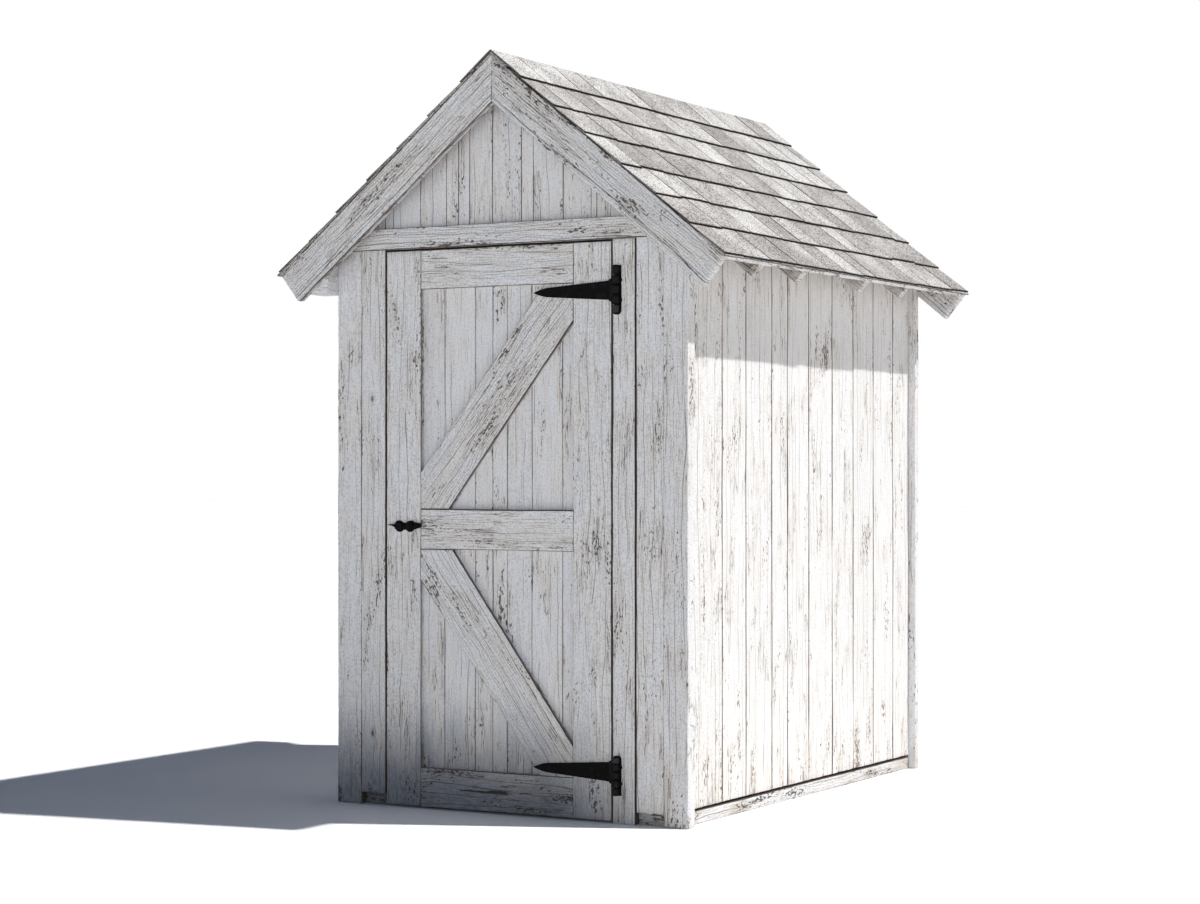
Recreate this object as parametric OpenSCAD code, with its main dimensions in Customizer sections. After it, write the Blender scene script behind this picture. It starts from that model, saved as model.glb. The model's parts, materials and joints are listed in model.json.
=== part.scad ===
// Small garden shed of painted boards on a post and rail frame.
// Millimetres, +Z up. X runs along the front, Y from front to back, and the ground is at Z = 0.
// The origin is under the middle of the roof. The door is shut and swings out about its hinge pins.

/* [Body] */
// Width over the corner posts
body_w = 1300; // [1150:10:1600]
// Depth over the corner posts
body_d = 1830; // [1500:10:2400]
// Height of the roof's top face over the posts' outer faces
wall_h = 1888; // [1800:2:2100]
// Slope of the roof in degrees
roof_pitch = 39.1; // [36:0.1:42]

/* [Posts and boards] */
// Width of the left front post, and of both rear posts
post_w = 95; // [85:1:110]
// Width of the right front post
right_post_w = 84; // [70:1:95]
// Depth of the front posts
front_post_d = 47; // [44:1:60]
// Depth of the rear posts
rear_post_d = 32; // [30:1:44]
// Step from a post's outer face in to the side boards
side_step = 26; // [16:1:34]
// Thickness of the boards of the front and rear walls
board_t = 20; // [16:1:24]
// Thickness of the boards of the side walls
side_board_t = 24; // [18:1:28]
// Width of the open seam between two boards
seam_w = 4; // [2:0.5:6]
// Depth of a seam, cut from both faces down to the tongue
seam_depth = 6; // [3:0.5:7]
// Height of the front and rear boards' feet over the ground
board_foot = 39; // [20:1:42]
// Widths of one side wall's boards, as shares of the wall
side_board_shares = [237, 169, 191, 120, 167, 191, 177, 176, 177, 147];
// Widths of the front gable's boards, as shares of its width
front_board_shares = [31, 104, 101, 45, 43, 86, 108, 44, 109, 120, 141];
// Number of boards across the rear wall
rear_boards = 9; // [6:1:14]

/* [Base and floor] */
// Height of the sills and skirts
sill_h = 44; // [43:1:60]
// Thickness of the frame timbers
timber_t = 45; // [38:1:50]
// Dark gap between a skirt and the side boards over it
skirt_gap = 5; // [2:1:8]
// Thickness of the floor boards
floor_t = 18; // [15:1:25]
// Number of joists under the floor
joists = 3; // [1:1:6]
// Number of boards in the floor
floor_boards = 16; // [10:1:22]
// Height of the middle rails over the ground
mid_rail_z = 900; // [700:10:1100]
// Height of the top plates over the sides
plate_h = 70; // [60:1:90]
// Height of the tie beams at both gables
tie_h = 95; // [70:1:110]

/* [Doorway] */
// Width of the front board left of the doorway
left_board_w = 94; // [80:1:110]
// Width of the front board right of the jamb
right_board_w = 95; // [80:1:110]
// Top of the doorway, under the roof's top face over the posts' outer faces
head_drop = 78; // [70:1:110]
// Width of the hinge jamb
jamb_w = 78; // [60:1:90]
// Dark gap between the jamb and the board beside it
jamb_gap = 4.7; // [2:0.1:8]
// Height of the header board over the door
header_h = 68; // [50:1:80]
// Thickness of the header board
header_t = 20; // [15:1:25]
// Room between the header board's ends and the roof deck
header_room = 12; // [5:1:20]
// Width of the stop battens behind the door
stop_w = 64; // [50:1:80]
// Thickness of the stop battens
stop_t = 20; // [15:1:30]
// How far the stops reach into the doorway
stop_reach = 25; // [15:1:35]

/* [Door] */
// Gap round the door at its sides
door_side_gap = 5.5; // [5:0.1:8]
// Gap over the door
door_top_gap = 6; // [5:0.5:10]
// Gap under the door
door_foot_gap = 7; // [5:0.5:12]
// Thickness of the stiles, rails and braces
frame_t = 20; // [16:1:24]
// Thickness of the boards behind them
door_board_t = 22; // [18:1:22]
// Width of the stile on the opening edge
left_stile_w = 132; // [110:1:150]
// Width of the stile on the hinged edge
right_stile_w = 137; // [110:1:150]
// Height of the top and bottom rails
rail_h = 126; // [100:1:150]
// Height of the middle rail
mid_door_rail_h = 131; // [100:1:150]
// Underside of the middle rail over the ground
mid_door_rail_z = 838; // [760:1:900]
// Width of the braces
brace_w = 155; // [120:1:170]
// Degrees that the upper brace is steeper than its panel's diagonal
upper_brace_lean = 0.8; // [-2:0.1:4]
// Degrees that the lower brace is steeper than its panel's diagonal
lower_brace_lean = 2.5; // [-2:0.1:4]
// Widths of the door's boards, as shares of its width
door_board_shares = [96, 116, 116, 66, 54, 92, 112, 96, 91];

/* [Roof] */
// Shingles past the front posts' face
front_overhang = 98; // [80:1:130]
// Shingles past the rear posts' face
rear_overhang = 56; // [50:1:90]
// Shingles past the posts' outer faces, measured level
eave_overhang = 184; // [150:1:230]
// Number of shingle courses on a slope
courses = 7; // [5:1:9]
// Thickness of the whole shingle cover at a lower edge
cover_t = 12; // [10:0.5:16]
// Step from one course down to the next
course_step = 6; // [5:0.5:9]
// Thickness of the boards under the shingles
deck_t = 15; // [12:1:22]
// Number of boards in one slope of the deck
deck_boards = 9; // [6:1:12]
// Shingles past the deck's lower edge
drip = 12; // [5:1:20]
// Width of the barge boards
barge_w = 114; // [90:1:125]
// Thickness of the barge boards
barge_t = 30; // [20:1:35]
// Shingles past the barge boards' outer faces
barge_setback = 10; // [4:1:20]
// Barge boards short of the shingles' lower edge
barge_short = 9; // [4:1:20]
// Thickness of the rafters
rafter_t = 38; // [32:1:50]
// Depth of the rafters
rafter_depth = 65; // [55:1:75]
// Rafter tails short of the shingles' lower edge
tail_short = 50; // [30:1:110]
// Places of the rafters between the gables, as shares of the depth
rafter_shares = [0.153, 0.328, 0.601, 0.792];
// Thickness of the ridge board
ridge_t = 25; // [20:1:35]
// Height of the ridge board
ridge_board_h = 95; // [80:1:105]
// Width of the blocks that carry the left barge boards' feet
eave_block_w = 88; // [70:1:95]
// Height of those blocks
eave_block_h = 59; // [45:1:65]
// Underside of those blocks over the barge boards' lower edge at their outer faces
eave_block_lift = 18; // [0:1:25]

/* [Hinges] */
// Upper hinge's middle under the door's top
upper_hinge_drop = 153; // [130:1:300]
// Lower hinge's middle over the door's foot
lower_hinge_rise = 143; // [130:1:300]
// Pin's centre to the right of the doorway's edge
pin_offset = 16.7; // [10:0.1:20]
// Pin's centre in front of the posts' face
pin_stand = 11; // [10.5:0.1:13]
// Radius of the pin
pin_r = 4.5; // [3:0.1:5.5]
// Radial clearance of the straps' knuckles on the pin
pin_clearance = 0.05; // [0.02:0.01:0.1]
// Outer radius of the knuckles
knuckle_r = 10; // [8:0.1:10]
// Height of one knuckle of the upper hinge
upper_knuckle_h = 30; // [24:1:32]
// Height of one knuckle of the lower hinge
lower_knuckle_h = 24; // [22:1:32]
// Gap between knuckles
knuckle_gap = 1; // [0.5:0.1:2]
// Gap round a moving knuckle
knuckle_room = 1.5; // [1:0.1:2]
// Length of a strap from the pin to its tip
strap_len = 302; // [220:1:330]
// Lower strap's axis over the middle of its knuckles
lower_strap_rise = 10; // [0:1:12]
// Half height of a strap at its wide end
strap_half_h = 30; // [24:1:36]
// Half height of the flange between a strap and its knuckles
flange_half_h = 40; // [36:1:46]
// Half height of a strap where its point begins
point_half_h = 15; // [10:1:20]
// Half height halfway along the point, as a share of that
point_bulge = 0.7; // [0.5:0.05:0.9]
// Length of the point
point_len = 52; // [30:1:80]
// Thickness of a strap
strap_t = 5; // [3:0.5:6]
// Width of a plate from the pin
plate_w = 14; // [13:1:40]
// Radius of the ears that carry the plate's screws
ear_r = 7; // [5:0.5:9]
// Ears past the plate's edge
ear_reach = 3; // [1:0.5:4]
// Thickness of a plate
plate_t = 4; // [3:0.5:5]

/* [Pull] */
// Distance from the door's opening edge to the pull's middle
pull_inset = 72; // [60:1:80]
// Height of the pull over the ground
pull_z = 911; // [800:1:1100]
// Distance between the pull's two knobs
knob_spacing = 42; // [36:1:50]
// Radius of the back plate round a knob
plate_r = 18.5; // [16:0.5:20]
// Radius of a knob
knob_r = 15; // [10:0.5:15]
// Length of the pull
pull_len = 129; // [110:1:132]
// Half height of the pull's outline beside a knob, as a share of the plate's radius
pull_waist = 0.75; // [0.5:0.05:0.9]
// Height of the pull's back plate between the knobs
pull_neck_h = 23; // [14:1:30]
// Height of the pull's blunt end
pull_end_h = 11; // [6:1:16]
// Thickness of the pull's back plate
pull_plate_t = 5; // [3:0.5:8]
// Radius of the neck between the knobs
neck_r = 6; // [4:0.5:7]

/* [Hidden] */

white_paint = "#dcdcda";
shade_paint = "#c9cbce";
bare_wood = "#b09a7c";
shingle_grey = "#9d968e";
black_iron = "#1d1d1f";

// Cutters reach this far past what they cut.
over = 1;
// Separate timbers of one frame stay this far apart.
joint_gap = 1;
// Board tops stay this far under what passes over them.
tuck = 2;
// Layers of the roof lie this far apart.
layer_gap = 0.1;
// Knuckles in a hinge, counted up from the round end; the strap has every second one.
knuckles = 5;
// Facets of a full circle.
$fn = 64;

roof_d = front_overhang + body_d + rear_overhang;
front_y = front_overhang - roof_d / 2;
half_w = body_w / 2;
ridge_h = wall_h + half_w * tan(roof_pitch);
slope_len = (half_w + eave_overhang) / cos(roof_pitch);
doorway_h = wall_h - head_drop;
doorway_left = half_w - post_w - left_board_w;
doorway_right = half_w - right_post_w - right_board_w - jamb_gap - jamb_w;
right_post_in = half_w - right_post_w;
post_in = half_w - post_w;
side_out = half_w - side_step;
side_in = side_out - side_board_t;
rail_in = side_in - timber_t;
rear_in = body_d - board_t;
side_start = front_post_d;
side_end = body_d - rear_post_d;
floor_z = sill_h + floor_t;

deck_top = cover_t + layer_gap;
deck_bottom = deck_top + deck_t;
rafter_top = deck_bottom + layer_gap;
rafter_bottom = rafter_top + rafter_depth;
under_deck = deck_bottom + layer_gap;
under_rafters = rafter_bottom + layer_gap;
exposure = slope_len / courses;
barge_front_y = barge_setback - front_overhang;
barge_rear_y = body_d + rear_overhang - barge_setback;
roof_in_front = barge_front_y + barge_t;
roof_in_rear = barge_rear_y - barge_t;
plate_top = roof_z(rail_in, rafter_bottom);
ridge_board_top = roof_z(ridge_t / 2, under_deck);

jamb_right = doorway_right + jamb_w;
header_reach = (roof_z(0, under_deck) - doorway_h - header_h - header_room) / tan(roof_pitch);
eave_block_z = roof_z(half_w + eave_block_w, deck_top + barge_w) + eave_block_lift;
door_left = door_side_gap - doorway_left;
door_right = doorway_right - door_side_gap;
door_top = doorway_h - door_top_gap;
panel_left = door_left + left_stile_w;
panel_right = door_right - right_stile_w;
top_rail_z = door_top - rail_h;
bottom_rail_top = door_foot_gap + rail_h;
mid_door_rail_top = mid_door_rail_z + mid_door_rail_h;
upper_hinge_z = door_top - upper_hinge_drop;
lower_hinge_z = door_foot_gap + lower_hinge_rise;
pin_x = doorway_right + pin_offset;

// Height of the plane that lies depth under the roof's top face, above the place x.
function roof_z(x, depth) = ridge_h - abs(x) * tan(roof_pitch) - depth / cos(roof_pitch);

// Point on the right slope: along from the ridge, depth under the top face.
function slope_point(along, depth) = [
  along * cos(roof_pitch) - depth * sin(roof_pitch),
  ridge_h - along * sin(roof_pitch) - depth * cos(roof_pitch)];

// Height of all the knuckles of a hinge whose single ones are knuckle_h high.
function barrel_h(knuckle_h) = knuckles * (knuckle_h + knuckle_gap) - knuckle_gap;

// Total of the first count entries of a list.
function total(list, count) = count == 0 ? 0 : list[count - 1] + total(list, count - 1);

// Seam places along a run of boards whose widths are given as shares.
function seams(shares, run) =
  [for (i = [1 : len(shares) - 1]) run * total(shares, i) / total(shares, len(shares))];

// Seam places along a run of equal boards.
function even_seams(count, run) = [for (i = [1 : count - 1]) run * i / count];

// Moves a piece from the body's frame, whose Y starts at the front face, to the part's frame.
module place() {
  translate([0, front_y, 0]) children();
}

// Straight timber between two corners.
module timber(low, high) {
  translate(low) cube(high - low);
}

// Runs an outline drawn in X and Z from one depth to another.
module run_back(from, to) {
  translate([0, to, 0]) rotate([90, 0, 0]) linear_extrude(to - from) children();
}

// Plan outline of boards along X, with their seams cut into both faces.
module board_plan(run, thickness, places) {
  difference() {
    square([run, thickness]);
    for (place_x = places) {
      translate([place_x - seam_w / 2, -over]) square([seam_w, seam_depth + over]);
      translate([place_x - seam_w / 2, thickness - seam_depth])
        square([seam_w, seam_depth + over]);
    }
  }
}

// Upright boards from the place left, standing on foot, with their front face at the depth from.
module upright_boards(left, run, from, thickness, foot, top, places) {
  translate([left, from, foot]) linear_extrude(top - foot) board_plan(run, thickness, places);
}

// Everything under a plane of the roof, between two places along X.
module under_roof(left, right, foot, depth) {
  peak = left < 0 && right > 0 ? [[0, roof_z(0, depth)]] : [];
  polygon(concat([[left, foot], [left, roof_z(left, depth)]], peak,
    [[right, roof_z(right, depth)], [right, foot]]));
}

// Cutter that makes room for the ridge board through a gable.
module ridge_notch(from, to) {
  timber([-ridge_t / 2, from, ridge_board_top - ridge_board_h],
    [ridge_t / 2, to, ridge_h]);
}

/* ---- base and floor ---- */

module base_frame() {
  color(bare_wood) place() {
    timber([-(side_out - timber_t), side_start, 0],
      [side_out - timber_t, side_start + timber_t, sill_h]);
    timber([-post_in, rear_in - timber_t, 0], [post_in, rear_in, sill_h]);
    timber([-post_in, board_t, 0], [-doorway_left, side_start - joint_gap, sill_h]);
    timber([jamb_right, board_t, 0], [right_post_in, side_start - joint_gap, sill_h]);
    for (i = [1 : joists]) {
      joist_y = side_start + (rear_in - side_start) * i / (joists + 1);
      timber([-(side_out - timber_t), joist_y - timber_t / 2, 0],
        [side_out - timber_t, joist_y + timber_t / 2, sill_h]);
    }
  }
}

module skirt() {
  color(white_paint) place()
    timber([side_out - timber_t, side_start, 0], [side_out, side_end, sill_h]);
}

module floor_deck() {
  color(bare_wood) place()
    translate([-side_in, side_start, sill_h]) mirror([1, 0, 0]) rotate([0, -90, 0])
      linear_extrude(2 * side_in) rotate(90) mirror([0, 1, 0])
        board_plan(side_end - side_start, floor_t,
          even_seams(floor_boards, side_end - side_start));
}

/* ---- walls ---- */

// Corner post: its outer leaf stands up to the roof deck, the rest stops under the gable rafter.
module post(width, from, to, leaf_from, leaf_to) {
  color(white_paint) place() {
    run_back(from, to) under_roof(half_w - width, half_w, 0, under_rafters);
    run_back(leaf_from, leaf_to) under_roof(half_w - width, half_w, 0, under_deck);
  }
}

module front_post(width) {
  post(width, 0, front_post_d, 0, board_t);
}

module rear_post() {
  post(post_w, side_end, body_d, rear_in, body_d);
}

// Boards between two places on the front, from their feet up to the roof deck.
module front_board(left, right) {
  color(shade_paint) place()
    run_back(0, board_t) under_roof(left, right, board_foot, under_deck);
}

module hinge_jamb() {
  color(white_paint) place()
    timber([doorway_right, 0, 0], [jamb_right, front_post_d, doorway_h]);
}

// Outline of a tie beam, with its top corners cut under the gable rafters.
module tie_outline(left, right) {
  intersection() {
    translate([left, doorway_h]) square([right - left, tie_h]);
    under_roof(-half_w, half_w, 0, under_rafters);
  }
}

module front_frame() {
  color(bare_wood) place() {
    timber([-post_in, board_t, sill_h], [-doorway_left, front_post_d, doorway_h - joint_gap]);
    timber([jamb_right, board_t, sill_h], [right_post_in, front_post_d, doorway_h - joint_gap]);
    run_back(board_t, board_t + timber_t) tie_outline(-post_in, min(right_post_in, rail_in));
  }
}

module door_stop() {
  back = front_post_d + stop_t;
  left_in = stop_reach - doorway_left;
  right_in = doorway_right - stop_reach;
  color(bare_wood) place() {
    timber([left_in - stop_w, front_post_d, floor_z], [left_in, back, doorway_h]);
    timber([right_in, front_post_d, floor_z], [right_in + stop_w, back, doorway_h]);
    timber([left_in + joint_gap, front_post_d, doorway_h - stop_reach - door_top_gap],
      [right_in - joint_gap, back, doorway_h]);
  }
}

module door_header() {
  color(shade_paint) place()
    timber([-header_reach, -header_t, doorway_h], [header_reach, 0, doorway_h + header_h]);
}

module front_gable() {
  left = -doorway_left;
  right = jamb_right + jamb_gap;
  color(shade_paint) place() difference() {
    intersection() {
      upright_boards(left, right - left, 0, board_t, doorway_h, ridge_h,
        seams(front_board_shares, right - left));
      run_back(-over, board_t + over) under_roof(left, right, doorway_h, under_deck);
    }
    ridge_notch(-over, board_t + over);
  }
}

module side_wall() {
  run = side_end - side_start;
  color(white_paint) place()
    translate([side_out, 0, 0]) rotate(90)
      upright_boards(side_start, run, 0, side_board_t, sill_h + skirt_gap,
        roof_z(side_out, rafter_bottom) - tuck, seams(side_board_shares, run));
}

module side_rails() {
  color(bare_wood) place() {
    timber([rail_in, side_start, floor_z], [side_in, side_end, floor_z + timber_t]);
    timber([rail_in, side_start, mid_rail_z], [side_in, side_end, mid_rail_z + timber_t]);
    timber([rail_in, side_start, plate_top - plate_h], [side_in, side_end, plate_top]);
  }
}

module wall_rear() {
  run = 2 * post_in;
  color(white_paint) place() difference() {
    intersection() {
      upright_boards(-post_in, run, rear_in, board_t, board_foot, ridge_h,
        even_seams(rear_boards, run));
      run_back(rear_in - over, body_d + over) under_roof(-post_in, post_in, 0, under_deck);
    }
    ridge_notch(rear_in - over, body_d + over);
  }
}

module rear_rails() {
  rail_y = rear_in - timber_t;
  reach = min(post_in, rail_in);
  color(bare_wood) place() {
    timber([-reach, rail_y, floor_z], [reach, rear_in, floor_z + timber_t]);
    timber([-reach, rail_y, mid_rail_z], [reach, rear_in, mid_rail_z + timber_t]);
    run_back(rail_y, rear_in) tie_outline(-reach, reach);
  }
}

/* ---- roof ---- */

module ridge_board() {
  color(bare_wood) place()
    timber([-ridge_t / 2, roof_in_front, ridge_board_top - ridge_board_h],
      [ridge_t / 2, roof_in_rear, ridge_board_top]);
}

// Layer of the right slope between two depths, plumb at the ridge and square at its foot.
module slope_layer(top, bottom, foot) {
  polygon([[0, roof_z(0, top)], slope_point(foot, top), slope_point(foot, bottom),
    [0, roof_z(0, bottom)]]);
}

// One rafter of the right slope, with its seat cut over the top plate.
module rafter_outline(reach) {
  difference() {
    intersection() {
      slope_layer(rafter_top, rafter_bottom, slope_len - tail_short);
      translate([ridge_t / 2, 0]) square([reach - ridge_t / 2, ridge_h]);
    }
    translate([rail_in - timber_t, 0]) square([side_in - rail_in + timber_t, plate_top]);
  }
}

module rafter_side() {
  run_back(board_t, board_t + rafter_t) rafter_outline(side_out);
  run_back(rear_in - rafter_t, rear_in) rafter_outline(side_out);
  for (share = rafter_shares)
    run_back(body_d * share - rafter_t / 2, body_d * share + rafter_t / 2)
      rafter_outline(body_w);
}

module rafters() {
  color(bare_wood) place() {
    rafter_side();
    mirror([1, 0, 0]) rafter_side();
  }
}

module roof_deck() {
  foot = slope_len - drip;
  color(bare_wood) place() run_back(roof_in_front, roof_in_rear) difference() {
    slope_layer(deck_top, deck_bottom, foot);
    for (along = even_seams(deck_boards, foot))
      translate(slope_point(along, deck_bottom + over)) rotate(-roof_pitch)
        square([seam_w, seam_depth + over]);
  }
}

// Outline of the stepped shingle courses of the right slope.
module course_outline() {
  polygon(concat(
    [for (i = [0 : courses - 1]) each [
      slope_point(i * exposure, i == 0 ? 0 : course_step),
      slope_point((i + 1) * exposure, 0)]],
    [slope_point(slope_len, cover_t), [0, roof_z(0, cover_t)]]));
}

module shingles() {
  color(shingle_grey) place()
    run_back(-front_overhang, body_d + rear_overhang) course_outline();
}

module barge(from) {
  color(shade_paint) place() run_back(from, from + barge_t)
    slope_layer(deck_top, deck_top + barge_w, slope_len - barge_short);
}

// Blocks beside the left posts that reach out to carry the feet of the left barge boards.
module eave_blocks() {
  top = eave_block_z + eave_block_h;
  color(shade_paint) place() mirror([1, 0, 0]) {
    timber([half_w, roof_in_front, eave_block_z], [half_w + eave_block_w, front_post_d, top]);
    timber([half_w, side_end, eave_block_z], [half_w + eave_block_w, roof_in_rear, top]);
  }
}

/* ---- hinges ---- */

// One of the stacked knuckles, or the room cut for it.
module knuckle(index, knuckle_h, radius, room) {
  foot = index * (knuckle_h + knuckle_gap) - barrel_h(knuckle_h) / 2;
  translate([pin_x, -pin_stand, foot - room]) cylinder(r = radius, h = knuckle_h + 2 * room);
}

// Lowest knuckle of a hinge, closed by a round end.
module end_knuckle(knuckle_h) {
  translate([pin_x, -pin_stand, knuckle_r - barrel_h(knuckle_h) / 2]) {
    cylinder(r = knuckle_r, h = knuckle_h - knuckle_r);
    sphere(r = knuckle_r);
  }
}

// Outline of a hinge's fixed plate: a strip with one round corner and an ear for each screw.
module plate_outline(knuckle_h) {
  half_h = barrel_h(knuckle_h) / 2;
  translate([0, plate_w - half_h]) {
    square([plate_w, 2 * half_h - plate_w]);
    intersection() {
      circle(r = plate_w);
      translate([0, -plate_w]) square(plate_w);
    }
  }
  for (i = [1 : 2 : knuckles - 2])
    translate([plate_w + ear_reach - ear_r, (i + 0.5) * (knuckle_h + knuckle_gap) - half_h])
      circle(r = ear_r);
}

// Fixed half of a hinge: plate, knuckles at both ends and in the middle, and the pin.
module hinge_plate(knuckle_h) {
  half_h = barrel_h(knuckle_h) / 2;
  color(black_iron) {
    difference() {
      run_back(-plate_t, 0) translate([pin_x, 0]) plate_outline(knuckle_h);
      for (i = [1 : 2 : knuckles - 2])
        knuckle(i, knuckle_h, knuckle_r + knuckle_room, knuckle_gap);
    }
    end_knuckle(knuckle_h);
    for (i = [2 : 2 : knuckles - 1]) knuckle(i, knuckle_h, knuckle_r, 0);
    translate([pin_x, -pin_stand, knuckle_r - half_h])
      cylinder(r = pin_r, h = 2 * half_h - knuckle_r);
  }
}

// Moving half of a hinge: tapered strap with a pointed tip, its axis at the height axis_z.
module hinge_strap(knuckle_h, axis_z) {
  tip = pin_x - strap_len;
  root = pin_x - strap_half_h;
  color(black_iron) difference() {
    union() {
      run_back(-strap_t, 0) translate([0, axis_z]) polygon([
        [tip, 0], [tip + point_len / 2, -point_bulge * point_half_h],
        [tip + point_len, -point_half_h], [root, -strap_half_h],
        [pin_x - knuckle_r, -flange_half_h], [pin_x, -flange_half_h],
        [pin_x, flange_half_h], [pin_x - knuckle_r, flange_half_h], [root, strap_half_h],
        [tip + point_len, point_half_h],
        [tip + point_len / 2, point_bulge * point_half_h]]);
      for (i = [1 : 2 : knuckles - 2]) knuckle(i, knuckle_h, knuckle_r, 0);
    }
    for (i = [0 : 2 : knuckles - 1])
      knuckle(i, knuckle_h, knuckle_r + knuckle_room, knuckle_gap);
    translate([pin_x, -pin_stand, -barrel_h(knuckle_h)])
      cylinder(r = pin_r + pin_clearance, h = 2 * barrel_h(knuckle_h));
  }
}

// The lower hinge is the upper one turned upside down.
module upper_hinge() {
  place() translate([0, 0, upper_hinge_z]) children();
}

module lower_hinge() {
  place() translate([0, 0, lower_hinge_z]) mirror([0, 0, 1]) children();
}

/* ---- door ---- */

module door_boards() {
  run = door_right - door_left;
  color(shade_paint) place()
    upright_boards(door_left, run, frame_t, door_board_t, door_foot_gap, door_top,
      seams(door_board_shares, run));
}

module stile(left, right) {
  color(shade_paint) place() timber([left, 0, door_foot_gap], [right, frame_t, door_top]);
}

module door_rail(foot, top) {
  color(shade_paint) place() timber([panel_left, 0, foot], [panel_right, frame_t, top]);
}

// Slanted board across a panel of the door, cut off by the stiles and rails round it.
// The sign of rise says whether it climbs to the right or falls to the right.
module brace(foot, top, rise, lean) {
  run = panel_right - panel_left;
  pitch = atan((top - foot) / run) + lean;
  color(shade_paint) place() run_back(0, frame_t) intersection() {
    translate([panel_left, foot]) square([run, top - foot]);
    translate([(panel_left + panel_right) / 2, (foot + top) / 2]) rotate(rise * pitch)
      square([run + top - foot, brace_w], center = true);
  }
}

// Pull: two domed knobs and their neck on a back plate with a pointed and a blunt end.
module door_pull() {
  middle = door_left + pull_inset;
  half_gap = knob_spacing / 2;
  half_len = pull_len / 2;
  waist = pull_waist * plate_r;
  color(black_iron) place() translate([middle, 0, pull_z]) {
    run_back(-pull_plate_t, 0) {
      polygon([[-half_len, 0], [-half_gap, -waist], [0, -pull_neck_h / 2], [half_gap, -waist],
        [half_len, -pull_end_h / 2], [half_len, pull_end_h / 2], [half_gap, waist],
        [0, pull_neck_h / 2], [-half_gap, waist]]);
      for (side = [-1, 1]) translate([side * half_gap, 0]) circle(r = plate_r);
    }
    for (side = [-1, 1]) translate([side * half_gap, -pull_plate_t, 0]) rotate([90, 0, 0])
      rotate_extrude() intersection() {
        circle(r = knob_r);
        square(knob_r);
      }
    translate([-half_gap, -pull_plate_t - neck_r / 2, 0]) rotate([0, 90, 0])
      cylinder(r = neck_r, h = knob_spacing);
  }
}

base_frame();
mirror([1, 0, 0]) skirt();  // skirt_left
skirt();  // skirt_right
floor_deck();
mirror([1, 0, 0]) front_post(post_w);  // post_front_left
front_post(right_post_w);  // post_front_right
mirror([1, 0, 0]) rear_post();  // post_rear_left
rear_post();  // post_rear_right
front_board(-post_in, -doorway_left);  // front_board_left
front_board(jamb_right + jamb_gap, right_post_in);  // front_board_right
hinge_jamb();
front_frame();
door_stop();
door_header();
front_gable();
mirror([1, 0, 0]) side_wall();  // wall_left
side_wall();  // wall_right
mirror([1, 0, 0]) side_rails();  // side_rails_left
side_rails();  // side_rails_right
wall_rear();
rear_rails();
ridge_board();
rafters();
mirror([1, 0, 0]) roof_deck();  // roof_deck_left
roof_deck();  // roof_deck_right
mirror([1, 0, 0]) shingles();  // shingles_left
shingles();  // shingles_right
mirror([1, 0, 0]) barge(barge_front_y);  // barge_front_left
barge(barge_front_y);  // barge_front_right
mirror([1, 0, 0]) barge(roof_in_rear);  // barge_rear_left
barge(roof_in_rear);  // barge_rear_right
eave_blocks();
upper_hinge() hinge_plate(upper_knuckle_h);  // hinge_plate_upper
lower_hinge() hinge_plate(lower_knuckle_h);  // hinge_plate_lower
door_boards();
stile(door_left, panel_left);  // door_stile_left
stile(panel_right, door_right);  // door_stile_right
door_rail(top_rail_z, door_top);  // door_rail_top
door_rail(mid_door_rail_z, mid_door_rail_top);  // door_rail_middle
door_rail(door_foot_gap, bottom_rail_top);  // door_rail_bottom
brace(mid_door_rail_top, top_rail_z, 1, upper_brace_lean);  // door_brace_upper
brace(bottom_rail_top, mid_door_rail_z, -1, lower_brace_lean);  // door_brace_lower
upper_hinge() hinge_strap(upper_knuckle_h, 0);  // hinge_strap_upper
lower_hinge() hinge_strap(lower_knuckle_h, -lower_strap_rise);  // hinge_strap_lower
door_pull();
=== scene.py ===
import json
import math
import random
from types import SimpleNamespace as Settings

import bmesh
import bpy
import numpy as np
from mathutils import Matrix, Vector, noise

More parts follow.
